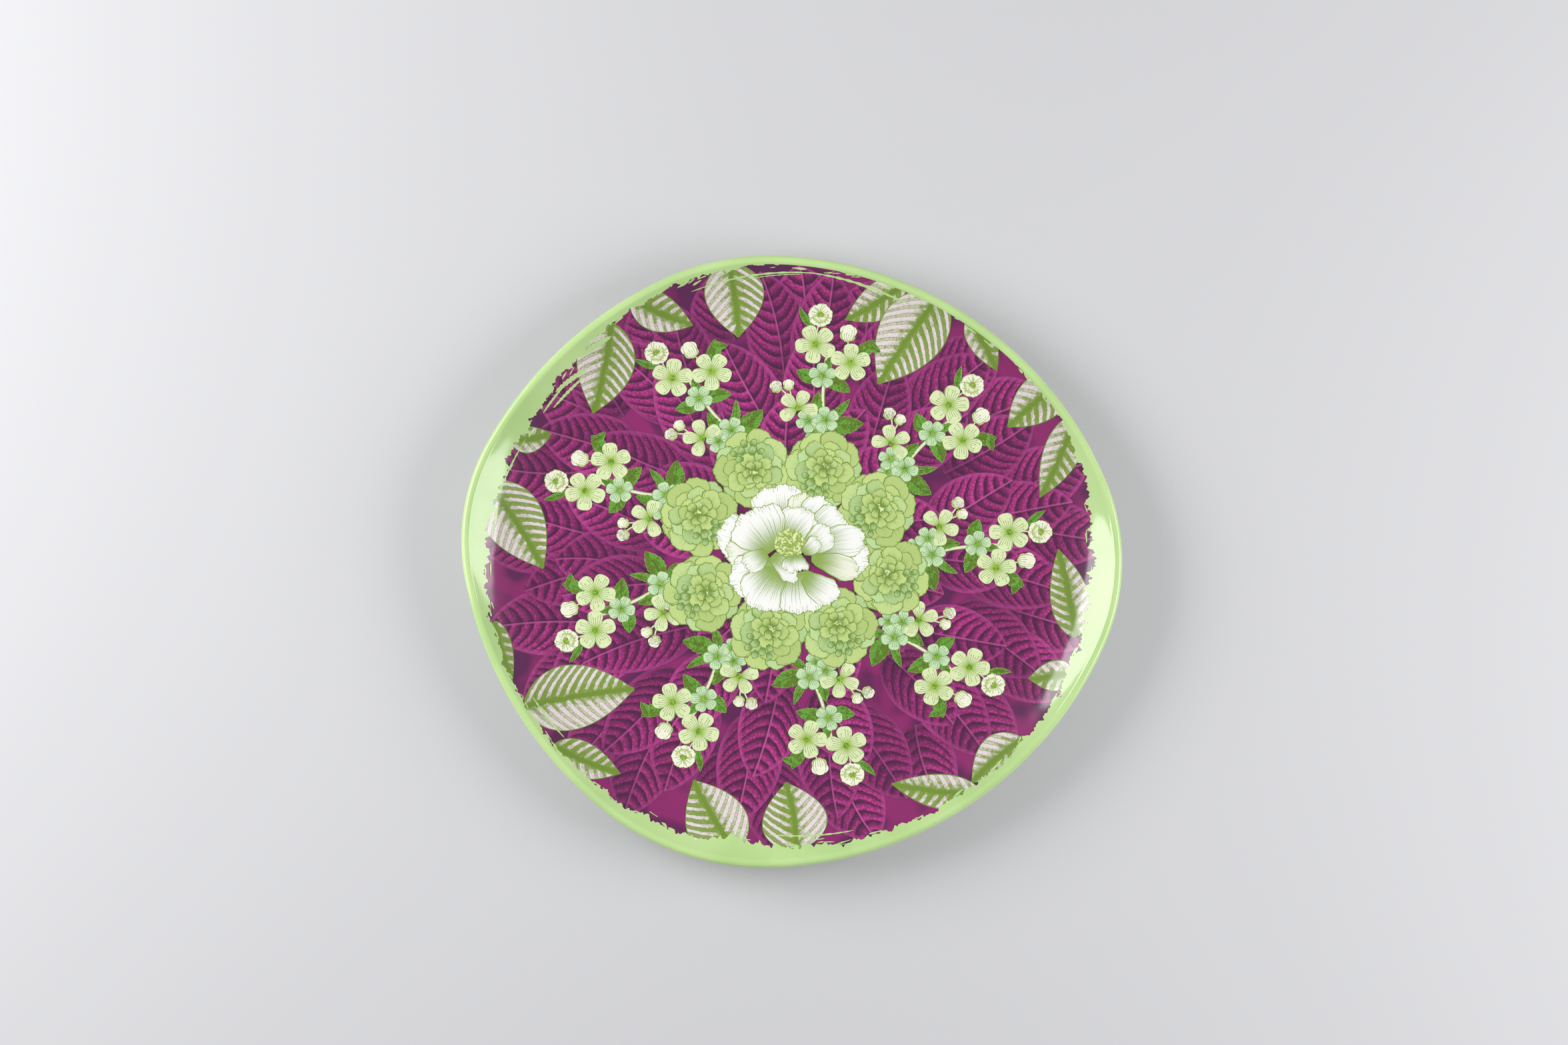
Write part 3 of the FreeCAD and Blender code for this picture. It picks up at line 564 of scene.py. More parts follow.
leafy = Finish("magenta_leaf")
across, along, edge = leafy.marks("pattern")
side_share, tip_share, tone = leafy.marks("measure")
beside = across.maths("ABSOLUTE")
waver = leafy.grain(210.0, 2.0) - 0.5
vein = (along - beside * 0.16 - beside * beside * 0.052 + waver * 2.4) / 6.3
strip = vein.maths("FRACT")
hollow = (beside * -0.03 + 0.42).maths("MAXIMUM", 0.1)
lit = strip.step(hollow * 0.2, hollow + 0.45) * strip.step(0.84, 1.0).other_way()
inside = (edge + waver * 2.0).step(0.8, 3.4)
lit_half = side_share.step(-0.1, 0.1) * 0.35 + 0.65
shade = leafy.blend(lit * lit_half, linear(72, 12, 60), MAGENTA)
shade = leafy.blend(strip.band(0.76, 0.05, 0.14) * lit_half * 0.3, shade, linear(198, 74, 152))
cracks = leafy.crackle(430.0).step(0.045, 0.12).other_way()
shade = leafy.blend(cracks * 0.6, shade, linear(70, 14, 60))
shade = leafy.blend(inside.other_way() * 0.72, shade, PALE_MARGIN)
shade = leafy.blend(edge.step(0.1, 0.5).other_way() * 0.5, shade, linear(110, 28, 88))
rib_shadow = (across + 0.9).maths("ABSOLUTE").step(0.4, 1.3).other_way()
shade = leafy.blend(rib_shadow * 0.55, shade, linear(60, 12, 54))
shade = leafy.blend(beside.step(0.3, 0.6).other_way() * 0.8, shade, linear(196, 84, 152))
cloud = leafy.grain(24.0, 1.0).step(0.35, 0.65)
shade = leafy.blend(tone * 0.24 + cloud * 0.26, shade, linear(74, 10, 62))
shade = leafy.blend(tip_share.step(0.0, 0.55).other_way() * 0.5, shade, linear(56, 8, 50))
shade = leafy.blend(leafy.grain(1400.0, 1.0).step(0.55, 0.75) * 0.16, shade, linear(205, 90, 160))
leafy_material = leafy.paint(shade)

# The inner leaves' tips, by angle and reach, and their feet, by angle and reach.
INNER_LEAVES = [
    (183, 131, 189, 84), (167, 128, 176, 70), (151, 124, 145, 62), (127.5, 123, 132.5, 62),
    (109, 119, 99, 60), (85, 120, 80, 62), (61, 117, 49, 62), (37.5, 121, 44, 66), (17, 126, 6, 74),
    (-4, 126, -4, 72), (-25, 129, -35, 78), (-48, 131, -49, 78), (-71, 124, -80, 78),
    (-100, 128, -96, 74), (-124, 124, -118, 68), (-151, 132, -141, 69), (-168, 130, -164, 72),
]
GOLDEN_SHARE = 0.618034
RING_DEPTH = 0.034
scatter = np.random.default_rng(7)
leaves = []


def step_up(number):
    """A little lift of its own for each leaf of a ring, so that no two lie level."""
    return RING_DEPTH * (number * GOLDEN_SHARE % 1)


for number in range(24):
    angle = number * 15 + scatter.uniform(-2, 2)
    leaves.append((angle, 176, angle + scatter.uniform(-7, 7), 118, 18.5, 0.34 + step_up(number)))
for number in range(20):
    angle = number * 18 + 9 + scatter.uniform(-3, 3)
    leaves.append((angle, 152 + scatter.uniform(-4, 4), angle + scatter.uniform(-7, 7), 92, 18.0,
                   0.385 + step_up(number)))
for number, (tip_angle, tip_reach, foot_angle, foot_reach) in enumerate(INNER_LEAVES):
    leaves.append((tip_angle, tip_reach, foot_angle, foot_reach, 17.5, 0.43 + step_up(number)))
for number in range(13):
    angle = number * 360 / 13 + 11 + scatter.uniform(-4, 4)
    leaves.append((angle, 84 + scatter.uniform(-3, 3), angle + scatter.uniform(-8, 8), 40, 15.0,
                   0.472 + step_up(number)))
SECTORS = 9
EDGE_GAP = 1.0
sheets = [Transfer() for _ in range(SECTORS)]
for tip_angle, tip_reach, foot_angle, foot_reach, half, lift in leaves:
    sheet = sheets[int(tip_angle % 360 // (360 / SECTORS))]
    tip, foot = round_middle(tip_angle, tip_reach), round_middle(foot_angle, foot_reach)
    inset = from_rim(np.array([tip]))[0][0]
    if inset < WALL_TOP + EDGE_GAP:
        tip = tip + (foot - tip) * (WALL_TOP + EDGE_GAP - inset) / np.linalg.norm(foot - tip)
    blade(sheet, foot, tip, half, lift, rise=0.55, fall=0.72, bend=scatter.uniform(-3, 3),
          tone=scatter.uniform(0, 1), columns=19, rows=35)
for number, sheet in enumerate(sheets, start=1):
    lay_print(f"ground_leaves_{number}", sheet.mesh(f"ground_{number}"), leafy_material,
              "leaf_ground")

# -------------------------------------------------------- the rim's leaves
# Nineteen green and pinkish white leaves, printed one by one at the rim. Their
# stalks run under the green band, and their tips point inwards.
LEAF_GREEN = linear(116, 144, 44)
LEAF_WHITE = linear(228, 212, 214)
STRIPED_LIFT = 0.53
# Each leaf's tip, its stalk's end and its half width.
RIM_LEAVES = [
    ((-29.3, 123.6), (-35.0, 163.0), 15.5), ((-54.4, 130.0), (-89.0, 144.0), 10.0),
    ((-109.1, 81.6), (-99.0, 131.0), 15.0), ((-131.8, 70.0), (-155.0, 66.0), 7.0),
    ((-136.3, -3.9), (-167.0, 43.0), 15.5), ((-152.0, -66.0), (-162.0, -33.0), 6.0),
    ((-86.2, -70.0), (-146.0, -80.0), 17.0), ((-93.6, -116.2), (-130.0, -101.0), 9.5),
    ((-53.6, -119.9), (-30.0, -159.0), 16.0), ((-3.0, -121.1), (3.0, -158.0), 17.0),
    ((54.5, -121.9), (103.0, -127.0), 9.0), ((98.0, -121.0), (126.0, -97.0), 11.0),
    ((129.5, -64.3), (154.0, -60.0), 8.0), ((146.3, 6.7), (155.0, -42.0), 10.0),
    ((136.4, 35.1), (155.0, 79.0), 9.5), ((118.7, 73.8), (150.0, 98.0), 12.0),
    ((112.5, 104.2), (96.0, 132.0), 7.0), ((47.6, 97.8), (82.0, 146.0), 17.5),
    ((29.6, 133.1), (62.0, 152.0), 9.5),
]
striped = Finish("striped_leaf")
across, along, edge = striped.marks("pattern")
side_share = striped.marks("measure")[0]
beside = across.maths("ABSOLUTE")
rough = striped.grain(420.0, 3.0) - 0.5
vein = (along - beside * 0.4 - beside * beside * 0.024 + rough * 1.1) / 5.2
strip = vein.maths("FRACT")
green_half = side_share.step(-0.06, 0.06)
strip_half = green_half * -0.1 + 0.28
off_strip = (strip + rough * 0.12 - 0.4).maths("ABSOLUTE").step(strip_half, strip_half + 0.05)
white_strip = off_strip.other_way() * (beside + rough * 5.0).step(1.4, 3.0)
mottle = striped.grain(1500.0, 2.0).step(0.5, 0.57)
dashes = mottle * strip.band(0.9, 0.2, 0.15)
shade = striped.blend(dashes * 0.75, LEAF_WHITE, LEAF_GREEN)
strip_edges = strip.band(0.08, 0.03, 0.02) + strip.band(0.7, 0.025, 0.02)
shade = striped.blend(strip_edges * 0.75, shade, linear(112, 146, 70))
shade = striped.blend((green_half * 0.6 + 0.25) * white_strip.other_way(), shade, LEAF_GREEN)
frayed = (beside - green_half * 2.0 + rough * 16.0 - strip * 3.0).step(1.6, 3.6).other_way()
shade = striped.blend(frayed * (white_strip * -0.55 + 1.0) * 0.85, shade, LEAF_GREEN)
flecks = striped.grain(1100.0, 3.0).step(0.56, 0.62)
shade = striped.blend(flecks * 0.5, shade, linear(150, 176, 104))
shade = striped.blend((beside + rough * 2.4).step(0.9, 1.7).other_way(), shade, linear(110, 140, 42))
shade = striped.blend(edge.step(0.3, 0.6).other_way(), shade, linear(112, 142, 54))
striped_material = striped.paint(shade)
sheet = Transfer()
for number, (tip, stalk, half) in enumerate(RIM_LEAVES):
    blade(sheet, stalk, tip, half * 1.06, STRIPED_LIFT + 0.015 * (number % 2), rise=0.66, fall=0.98,
          bend=(-1) ** number * 1.2, tone=(number * 0.37) % 1, columns=21, rows=33)
lay_print("striped_rim_leaves", sheet.mesh("striped_rim"), striped_material,
          "rim_leaves")

# ------------------------------------------------------ the blossom sprays
# Nine alike sprays of fruit blossom, printed round the middle. Each has pale open
# flowers and buds, mint flowers at the joints, serrated leaves and a forked stem.
SPRAYS = 9
SPRAY_ANGLE = 79.0
SPRAY_FLATTENED = 0.945
COPY_STEP = 0.0115
STEM_LIFT = 0.575
LEAF_LIFT = 0.59
MINT_LIFT = 0.615
BLOSSOM_LIFT = 0.635
BUD_LIFT = 0.63
PETALS_ROUND = 5


def repeat_round(name, motif, material, count, first_angle, turns=None):
    """The same flat print, repeated round the pattern's middle or at given places and turns."""
    carrier_mesh = bpy.data.meshes.new(name)
    if turns:
        carrier_mesh.vertices.add(len(turns))
        layer = carrier_mesh.attributes.new("turn", "FLOAT", "POINT")
        for number, (place, turn) in enumerate(turns):
            own_place = (place[0], place[1], COPY_STEP * (number % 3))
            carrier_mesh.vertices[number].co = [value / 1000 for value in own_place]
            layer.data[number].value = math.radians(turn)
    carrier = bpy.data.objects.new(name, carrier_mesh)
    printed = bpy.data.objects.new(name + "_motif", motif)
    bpy.context.scene.collection.objects.link(carrier)
    bpy.context.scene.collection.objects.link(printed)
    tree = bpy.data.node_groups.new(name, "GeometryNodeTree")
    tree.interface.new_socket("Places", in_out="INPUT", socket_type="NodeSocketGeometry")
    inputs = {label: tree.interface.new_socket(label, in_out="INPUT", socket_type=kind).identifier
              for label, kind in (("Print", "NodeSocketObject"), ("Number round", "NodeSocketInt"),
                                  ("First angle", "NodeSocketFloat"), ("Middle", "NodeSocketVector"),
                                  ("Gloss", "NodeSocketMaterial"))}
    tree.interface.new_socket("Prints", in_out="OUTPUT", socket_type="NodeSocketGeometry")
    given, made = tree.nodes.new("NodeGroupInput"), tree.nodes.new("NodeGroupOutput")

    def add(kind, **links):
        node = tree.nodes.new(kind)
        for label, value in links.items():
            label = label.replace("_", " ")
            if isinstance(value, bpy.types.NodeSocket):
                tree.links.new(value, node.inputs[label])
            else:
                node.inputs[label].default_value = value
        return node

    def sum_of(kind, *values):
        node = tree.nodes.new("ShaderNodeMath")
        node.operation = kind
        for number, value in enumerate(values):
            if isinstance(value, bpy.types.NodeSocket):
                tree.links.new(value, node.inputs[number])
            else:
                node.inputs[number].default_value = value
        return node.outputs[0]

    motif_in = tree.nodes.new("GeometryNodeObjectInfo")
    tree.links.new(given.outputs["Print"], motif_in.inputs["Object"])
    number = tree.nodes.new("GeometryNodeInputIndex").outputs[0]
    if turns:
        places = given.outputs["Places"]
        named = tree.nodes.new("GeometryNodeInputNamedAttribute")
        named.data_type = "FLOAT"
        named.inputs["Name"].default_value = "turn"
        angle = named.outputs["Attribute"]
    else:
        places = add("GeometryNodePoints", Count=given.outputs["Number round"],
                     Position=given.outputs["Middle"]).outputs[0]
        share = sum_of("DIVIDE", number, given.outputs["Number round"])
        angle = sum_of("ADD", sum_of("MULTIPLY", share, 2 * math.pi), given.outputs["First angle"])
    spin = tree.nodes.new("ShaderNodeCombineXYZ")
    tree.links.new(angle, spin.inputs["Z"])
    copies = tree.nodes.new("GeometryNodeInstanceOnPoints")
    tree.links.new(places, copies.inputs["Points"])
    tree.links.new(motif_in.outputs["Geometry"], copies.inputs["Instance"])
    tree.links.new(spin.outputs[0], copies.inputs["Rotation"])
    real = add("GeometryNodeRealizeInstances", Geometry=copies.outputs[0])
    coloured = add("GeometryNodeSetMaterial", Geometry=real.outputs[0], Material=given.outputs["Gloss"])
    tree.links.new(coloured.outputs[0], made.inputs[0])
    modifier = carrier.modifiers.new("repeat", "NODES")
    modifier.node_group = tree
    modifier[inputs["Print"]] = printed
    modifier[inputs["Number round"]] = count
    modifier[inputs["First angle"]] = math.radians(first_angle)
    modifier[inputs["Middle"]] = (MIDDLE[0] / 1000, MIDDLE[1] / 1000, 0.0)
    modifier[inputs["Gloss"]] = material
    carrier.update_tag()
    bpy.context.view_layer.update()
    evaluated = carrier.evaluated_get(bpy.context.evaluated_depsgraph_get())
    result = bpy.data.meshes.new_from_object(evaluated)
    carrier.modifiers.clear()
    bpy.data.objects.remove(carrier)
    bpy.data.objects.remove(printed)
    result.polygons.foreach_set("use_smooth", np.ones(len(result.polygons), bool))
    return result


def lay_spray(name, sheet, material):
    """Repeat one part of a spray round the pattern and lay all of them on the face."""
    mesh = repeat_round(name, sheet.mesh(name + "_once"), material, SPRAYS, SPRAY_ANGLE)
    lay_print(name, mesh, material, "blossom_sprays", SPRAY_FLATTENED)


stalk = Finish("spray_stem")
rind = stalk.marks("measure")[0].maths("ABSOLUTE").step(0.45, 0.75)
streak = stalk.grain(900.0, 1.0).step(0.5, 0.6) * 0.3
pith = stalk.blend(streak, linear(234, 228, 204), linear(190, 202, 140))
stalk_material = stalk.paint(stalk.blend(rind, pith, linear(120, 150, 62)))
sheet = Transfer()
for foot, tip, half, bend in [
        ((70, -5), (101, 2), 1.15, 1.6), ((99, 2), (113, 3), 0.95, 0.6), ((117, 9), (133, 11), 0.45, 1.0),
        ((110, -6), (126, -6), 0.45, -1.2), ((80, 14), (90, 26), 0.5, -0.8), ((80, 14), (91, 20), 0.5, 0.5)]:
    blade(sheet, foot, tip, half, STEM_LIFT, rise=0.06, fall=0.06, bend=bend, columns=5, rows=19, start=0.5)
lay_spray("spray_stems", sheet, stalk_material)

green_leaf = Finish("spray_leaf")
across, along, edge = green_leaf.marks("pattern")
side_share, _, tone = green_leaf.marks("measure")
beside = across.maths("ABSOLUTE")
strip = ((along - beside * 0.9) / 2.1 + green_leaf.grain(500.0, 1.0) * 0.5).maths("FRACT")
olive = (green_leaf.grain(420.0, 2.0) + side_share * 0.1 + tone * 0.08).step(0.53, 0.57)
shade = green_leaf.blend(green_leaf.grain(200.0, 2.0), linear(86, 146, 40), linear(112, 168, 56))
shade = green_leaf.blend(olive * 0.7, shade, linear(92, 100, 14))
shade = green_leaf.blend(strip.band(0.5, 0.04, 0.06) * 0.75, shade, linear(56, 92, 22))
shade = green_leaf.blend(beside.step(0.14, 0.32).other_way() * 0.8, shade, linear(60, 96, 24))
shade = green_leaf.blend(edge.step(0.12, 0.3).other_way() * 0.7, shade, linear(150, 186, 96))
green_leaf_material = green_leaf.paint(shade)
sheet = Transfer()
for number, (foot, tip, half, bend) in enumerate([
        ((99, 5), (101.5, 18), 3.9, 0.8), ((99, 1), (94.5, -13.5), 3.9, 1.0),
        ((103, 2), (113.5, 0.5), 2.3, 0.3), ((118, -13), (127, -21), 3.6, -1.2),
        ((125, -18.5), (120.5, -25.5), 2.2, -0.8), ((128, 15), (138, 23.5), 1.9, 0.6),
        ((76, 2), (91.5, 3.5), 3.2, 0.6), ((77, -5), (90.5, -14), 2.3, -0.8),
        ((74, -6), (78, -24), 4.9, -0.8), ((70, -5), (63, -12), 2.6, 0.4),
        ((72, -2), (84, -9), 2.6, 0.6)]):
    blade(sheet, foot, tip, half, LEAF_LIFT + 0.008 * (number % 3), rise=0.6, fall=0.85, bend=bend,
          tone=(number * 0.61) % 1, teeth=0.16, teeth_count=6, columns=11, rows=25)
lay_spray("spray_leaves", sheet, green_leaf_material)


def petal_gloss(name, paper, shadow, ink, lines, reach, outline, shaded):
    """Paper-white petals with engraved lines that run out from the foot."""
    petal = Finish(name)
    _, along, edge = petal.marks("pattern")
    side_share, tip_share, tone = petal.marks("measure")
    column = side_share * lines + tone * 7.3 + petal.grain(300.0, 1.0) * 0.35
    luck = petal.chance(petal.at(column.maths("FLOOR"), tone * 31.0))
    length = luck * 0.5 + reach
    track, past = column.maths("FRACT"), tip_share - length
    line = track.band(0.5, 0.07, 0.09) * past.step(-0.08, 0.02).other_way()
    dot = track.band(0.5, 0.18, 0.08) * past.band(-0.03, 0.02, 0.02)
    shade = petal.blend(along.step(0.5, shaded).other_way(), paper, shadow)
    shade = petal.blend(petal.grain(700.0, 2.0).step(0.45, 0.7) * 0.16, shade, shadow)
    shade = petal.blend((line + dot).maths("MINIMUM", 1.0) * 0.8, shade, ink)
    shade = petal.blend(edge.step(0.16, 0.36).other_way() * outline, shade, ink)
    boss = petal.blend(petal.grain(900.0, 2.0).step(0.4, 0.6), linear(150, 182, 64), ink)
    return petal.paint(petal.blend(tone.step(1.4, 1.6), shade, boss))


def disc(sheet, centre, radius, lift):
    """A round boss of stamens, told from the petals by its tone."""
    centre = np.array(centre, float)
    blade(sheet, centre - (radius, 0), centre + (radius, 0), radius, lift, rise=0.5, fall=0.5,
          tone=2.0, columns=7, rows=9, round_tip=True, start=0.02)


def blossom(sheet, centre, radius, turn, lift, tone, plump, eye=0.15, skip=()):
    """Round petals about a boss, without those that another flower hides."""
    for number in range(PETALS_ROUND):
        if number in skip:
            continue
        way = heading(turn + number * 360 / PETALS_ROUND)
        blade(sheet, centre + way * radius * 0.05, centre + way * radius, radius * plump,
              lift + 0.008 * (number % 3), rise=0.85, fall=0.4, tone=(tone + number * 0.23) % 1,
              columns=11, rows=15, round_tip=True, start=0.05)
    disc(sheet, centre, radius * eye, lift + 0.03)


mint_material = petal_gloss("mint_blossom", linear(196, 222, 178), linear(128, 172, 74),
                            linear(84, 132, 36), lines=2.6, reach=0.45, outline=0.8, shaded=3.6)
sheet = Transfer()
for centre, radius, turn, tone in [((76.2, -3.2), 7.6, 20, 0.1), ((73.8, 6.1), 7.0, 50, 0.4),
                                   ((68.0, 1.5), 6.0, 5, 0.7), ((101, 3.5), 7.6, 10, 0.9)]:
    blossom(sheet, np.array(centre), radius, turn, MINT_LIFT, tone, plump=0.42, eye=0.17)
lay_spray("mint_blossoms", sheet, mint_material)

blossom_material = petal_gloss("pale_blossom", linear(219, 230, 180), linear(160, 192, 78),
                               linear(92, 138, 30), lines=3.2, reach=0.4, outline=0.4, shaded=4.6)
sheet = Transfer()
blossom(sheet, np.array((118.5, 10.6)), 11.4, 36, BLOSSOM_LIFT, 0.2, plump=0.38)
blossom(sheet, np.array((111.4, -10.3)), 11.2, 8, BLOSSOM_LIFT, 0.6, plump=0.38)
blossom(sheet, np.array((79.7, 13.0)), 11.0, -12, BLOSSOM_LIFT - 0.01, 0.8, plump=0.34, skip=(3,))
lay_spray("pale_blossoms", sheet, blossom_material)


def ruffled(sheet, foot, tip, half, lift, narrow=0.3, droop=0.42, ruffle=0.5, seed=0, tone=0.5,
            columns=25, rows=15, curl=0.0):
    """A broad fan of a petal with a ruffled outer edge."""
    foot, tip = np.array(foot, float), np.array(tip, float)
    length = np.linalg.norm(tip - foot)
    way = (tip - foot) / length
    side = np.array([-way[1], way[0]])
    luck = np.random.default_rng(seed)
    u, v = np.linspace(-1, 1, columns), np.linspace(0, 1, rows)
    share_across, share_along = np.meshgrid(u, v)
    phase = luck.uniform(0, 6.28, 4)
    frill = (np.sin(5 * u + phase[0]) + 0.7 * np.sin(11 * u + phase[1]) + 0.55 * np.sin(23 * u + phase[2])
             + 0.45 * np.sin(41 * u + phase[3]))
    reach = length * (1 - droop * np.abs(u) ** 2.3) + ruffle * frill
    width = half * (narrow + (1 - narrow) * np.sin(share_along * math.pi / 2) ** 0.85)
    width = width * (1 + 0.03 * ruffle * np.sin(14 * share_along + phase[3]))
    across = share_across * width
    along = share_along * reach[None, :]
    bow = curl * np.sin(share_along * math.pi)
    x = foot[0] + way[0] * along + side[0] * (across + bow)
    y = foot[1] + way[1] * along + side[1] * (across + bow)
    edge = np.minimum((1 - np.abs(share_across)) * width, (1 - share_along) * reach[None, :])
    sheet.add(x, y, lift, across, along, edge, share_across, share_along, tone)


bud_material = petal_gloss("white_bud", linear(240, 240, 216), linear(196, 208, 134),
                           linear(118, 150, 50), lines=2.6, reach=0.34, outline=0.85, shaded=2.4)
sheet = Transfer()
half_open = np.array((135.3, 11.1))
for number in range(PETALS_ROUND):
    way = heading(number * 360 / PETALS_ROUND + 25)
    ruffled(sheet, half_open + way * 0.6, half_open + way * 6.6, 4.7, BUD_LIFT + 0.006 * number,
            narrow=0.4, droop=0.3, ruffle=0.22, seed=300 + number, tone=number * 0.19,
            columns=21, rows=9)
disc(sheet, half_open, 2.1, BUD_LIFT + 0.035)
for number, (turn, reach) in enumerate([(200, 3.6), (250, 2.6), (150, 2.8)]):
    way = heading(turn)
    ruffled(sheet, half_open + way * 4.4, half_open + way * (4.4 - reach), 2.9,
            BUD_LIFT + 0.042 + 0.005 * number, narrow=0.5, droop=0.4, ruffle=0.2,
            seed=330 + number, tone=0.3 + number * 0.2, columns=17, rows=7)
for centre, radius, turn in [((127.7, -5.8), 5.4, 0), ((89.6, 27), 3.9, 30), ((92, 20.6), 3.6, 10)]:
    centre = np.array(centre)
    for number, (spread, wide) in enumerate([(48, 0.62), (-48, 0.62), (0, 0.66)]):
        way = heading(turn + spread)
        blade(sheet, centre - way * radius * 0.9, centre + way * radius, radius * wide,
              BUD_LIFT + 0.008 * number, rise=0.45, fall=0.4, tone=0.2 + number * 0.3,
              columns=9, rows=11, round_tip=True, start=0.1)
lay_spray("white_buds", sheet, bud_material)

# ------------------------------------------------------- the wreath's flowers
# Eight double flowers in soft green, printed in a close ring round the middle.
# Each has broad outer petals, a crowded heart, and a few pale mint petals.
WREATH_LIFT = 0.685
# Each flower's angle and reach round the pattern, and how far it is turned.
WREATH = [(117, 48.5, 0), (69, 45.5, 180), (24, 50, 205), (-17, 55.5, 0), (-61, 50.5, 0),
          (-106.5, 48.5, -8), (-153, 55.5, 10), (162.5, 54.5, 150)]
# From the outer petals in: how many, their foot, tip and half width, and how they droop.
PETAL_RINGS = [(10, 5.0, 22.3, 8.2, 0.3), (9, 3.5, 16.6, 6.1, 0.35), (8, 2.0, 11.2, 4.2, 0.4),
               (6, 1.0, 7.0, 2.8, 0.45)]
# The mint petals' places on the flower, the way each points, and its length.
MINT_PETALS = [(9, -4, -30, 5.5), (11.5, 1.5, 10, 5.0), (8, 4.5, 60, 4.6), (12.5, -6.5, -60, 4.6),
               (14.5, -1.5, 0, 4.8), (6.5, -8, -95, 4.4), (12, 6, 40, 4.2)]


def engraved(name, paper, tinted, ink, spacing, base_share, rim_share, tint_amount, depth):
    """Petals drawn in fine lines that fan out from the foot and in from the edge."""
    petal = Finish(name)
    edge = petal.marks("pattern")[2]
    side_share, tip_share, tone = petal.marks("measure")
    column = side_share * spacing + tone * 13.0 + petal.grain(160.0, 1.0) * 0.5
    luck = petal.chance(petal.at(column.maths("FLOOR"), tone * 57.0))
    other = petal.chance(petal.at(column.maths("FLOOR"), tone * 91.0 + 3.0))
    track = column.maths("FRACT")
    drawn = (tip_share / (luck * base_share + base_share * 0.4)).maths("MINIMUM", 1.0)
    swell = drawn.other_way() * 0.4
    from_foot = (track - 0.5).maths("ABSOLUTE").maths("LESS_THAN", swell)
    from_edge = track.band(0.5, 0.1, 0.1) * (edge - other * rim_share).maths("LESS_THAN", 0.0)
    broken = petal.grain(1100.0, 1.0).step(0.36, 0.44) * 0.5 + 0.5
    shade = petal.blend(tone.step(0.55, 0.8) * tint_amount, paper, tinted)
    own_depth = petal.chance(petal.at(tone * 917.0, tone * 31.0))
    shade = petal.blend(own_depth * depth, shade, ink)
    foot_shade = (tip_share / base_share).step(0.05, 1.15).other_way() * 0.85
    shade = petal.blend(foot_shade, shade, ink)
    shade = petal.blend(from_foot.maths("MAXIMUM", from_edge) * broken * 0.78, shade, ink)
    shade = petal.blend(edge.step(0.26, 0.6).other_way() * 0.9, shade, ink)
    boss = petal.blend(petal.grain(900.0, 3.0).step(0.44, 0.5) * 0.85, linear(220, 228, 168), ink)
    return petal.paint(petal.blend(tone.step(1.4, 1.6), shade, boss))


wreath_material = engraved("wreath_petal", linear(194, 214, 134), linear(188, 218, 158),
                           linear(102, 136, 38), spacing=8.0, base_share=0.66, rim_share=1.4,
                           tint_amount=0.8, depth=0.3)
sheet = Transfer()
luck = np.random.default_rng(21)
for ring, (count, foot, tip, half, droop) in enumerate(PETAL_RINGS):
    for number in range(count):
        way = heading(number * 360 / count + ring * 23 + luck.uniform(-7, 7))
        heart = np.array([-1.5, 0.5]) * ring * 0.5
        ruffled(sheet, heart + way * foot, heart + way * tip * luck.uniform(0.93, 1.02),
                half * luck.uniform(0.85, 1.1), WREATH_LIFT + ring * 0.014 + 0.006 * (number % 3),
                droop=droop, ruffle=0.28, seed=100 * ring + number, tone=luck.uniform(0, 0.9),
                columns=17, rows=9, curl=luck.uniform(-1, 1))
disc(sheet, (-2.2, 0.8), 2.2, WREATH_LIFT + 0.045)
for number, (x, y, turn, reach) in enumerate(MINT_PETALS):
    place, way = np.array([x, y]), heading(turn)
    ruffled(sheet, place - way * reach / 2, place + way * reach / 2, reach * 0.42,
            WREATH_LIFT + 0.055 + 0.006 * (number % 3), droop=0.4, ruffle=0.15, seed=700 + number,
            tone=0.98, columns=9, rows=7, narrow=0.5)
turns = [(round_middle(angle, reach), angle + turn) for angle, reach, turn in WREATH]
mesh = repeat_round("wreath_petals", sheet.mesh("wreath_once"), wreath_material, len(turns), 0.0, turns)
lay_print("wreath_petals", mesh, wreath_material, "wreath_flowers")

# ------------------------------------------------------------- the big flower
# One full flower in ivory, printed last in the middle, with ruffled petals drawn
# in green lines and a round boss of stamens.
IVORY_LIFT = 0.79
PETAL_STEP = 0.007
BOSS_OVER = 14.5
peony_material = engraved("ivory_petal", linear(243, 243, 238), linear(228, 232, 196),
                          linear(124, 158, 36), spacing=12.0, base_share=0.66, rim_share=4.0,
                          tint_amount=0.5, depth=0.03)
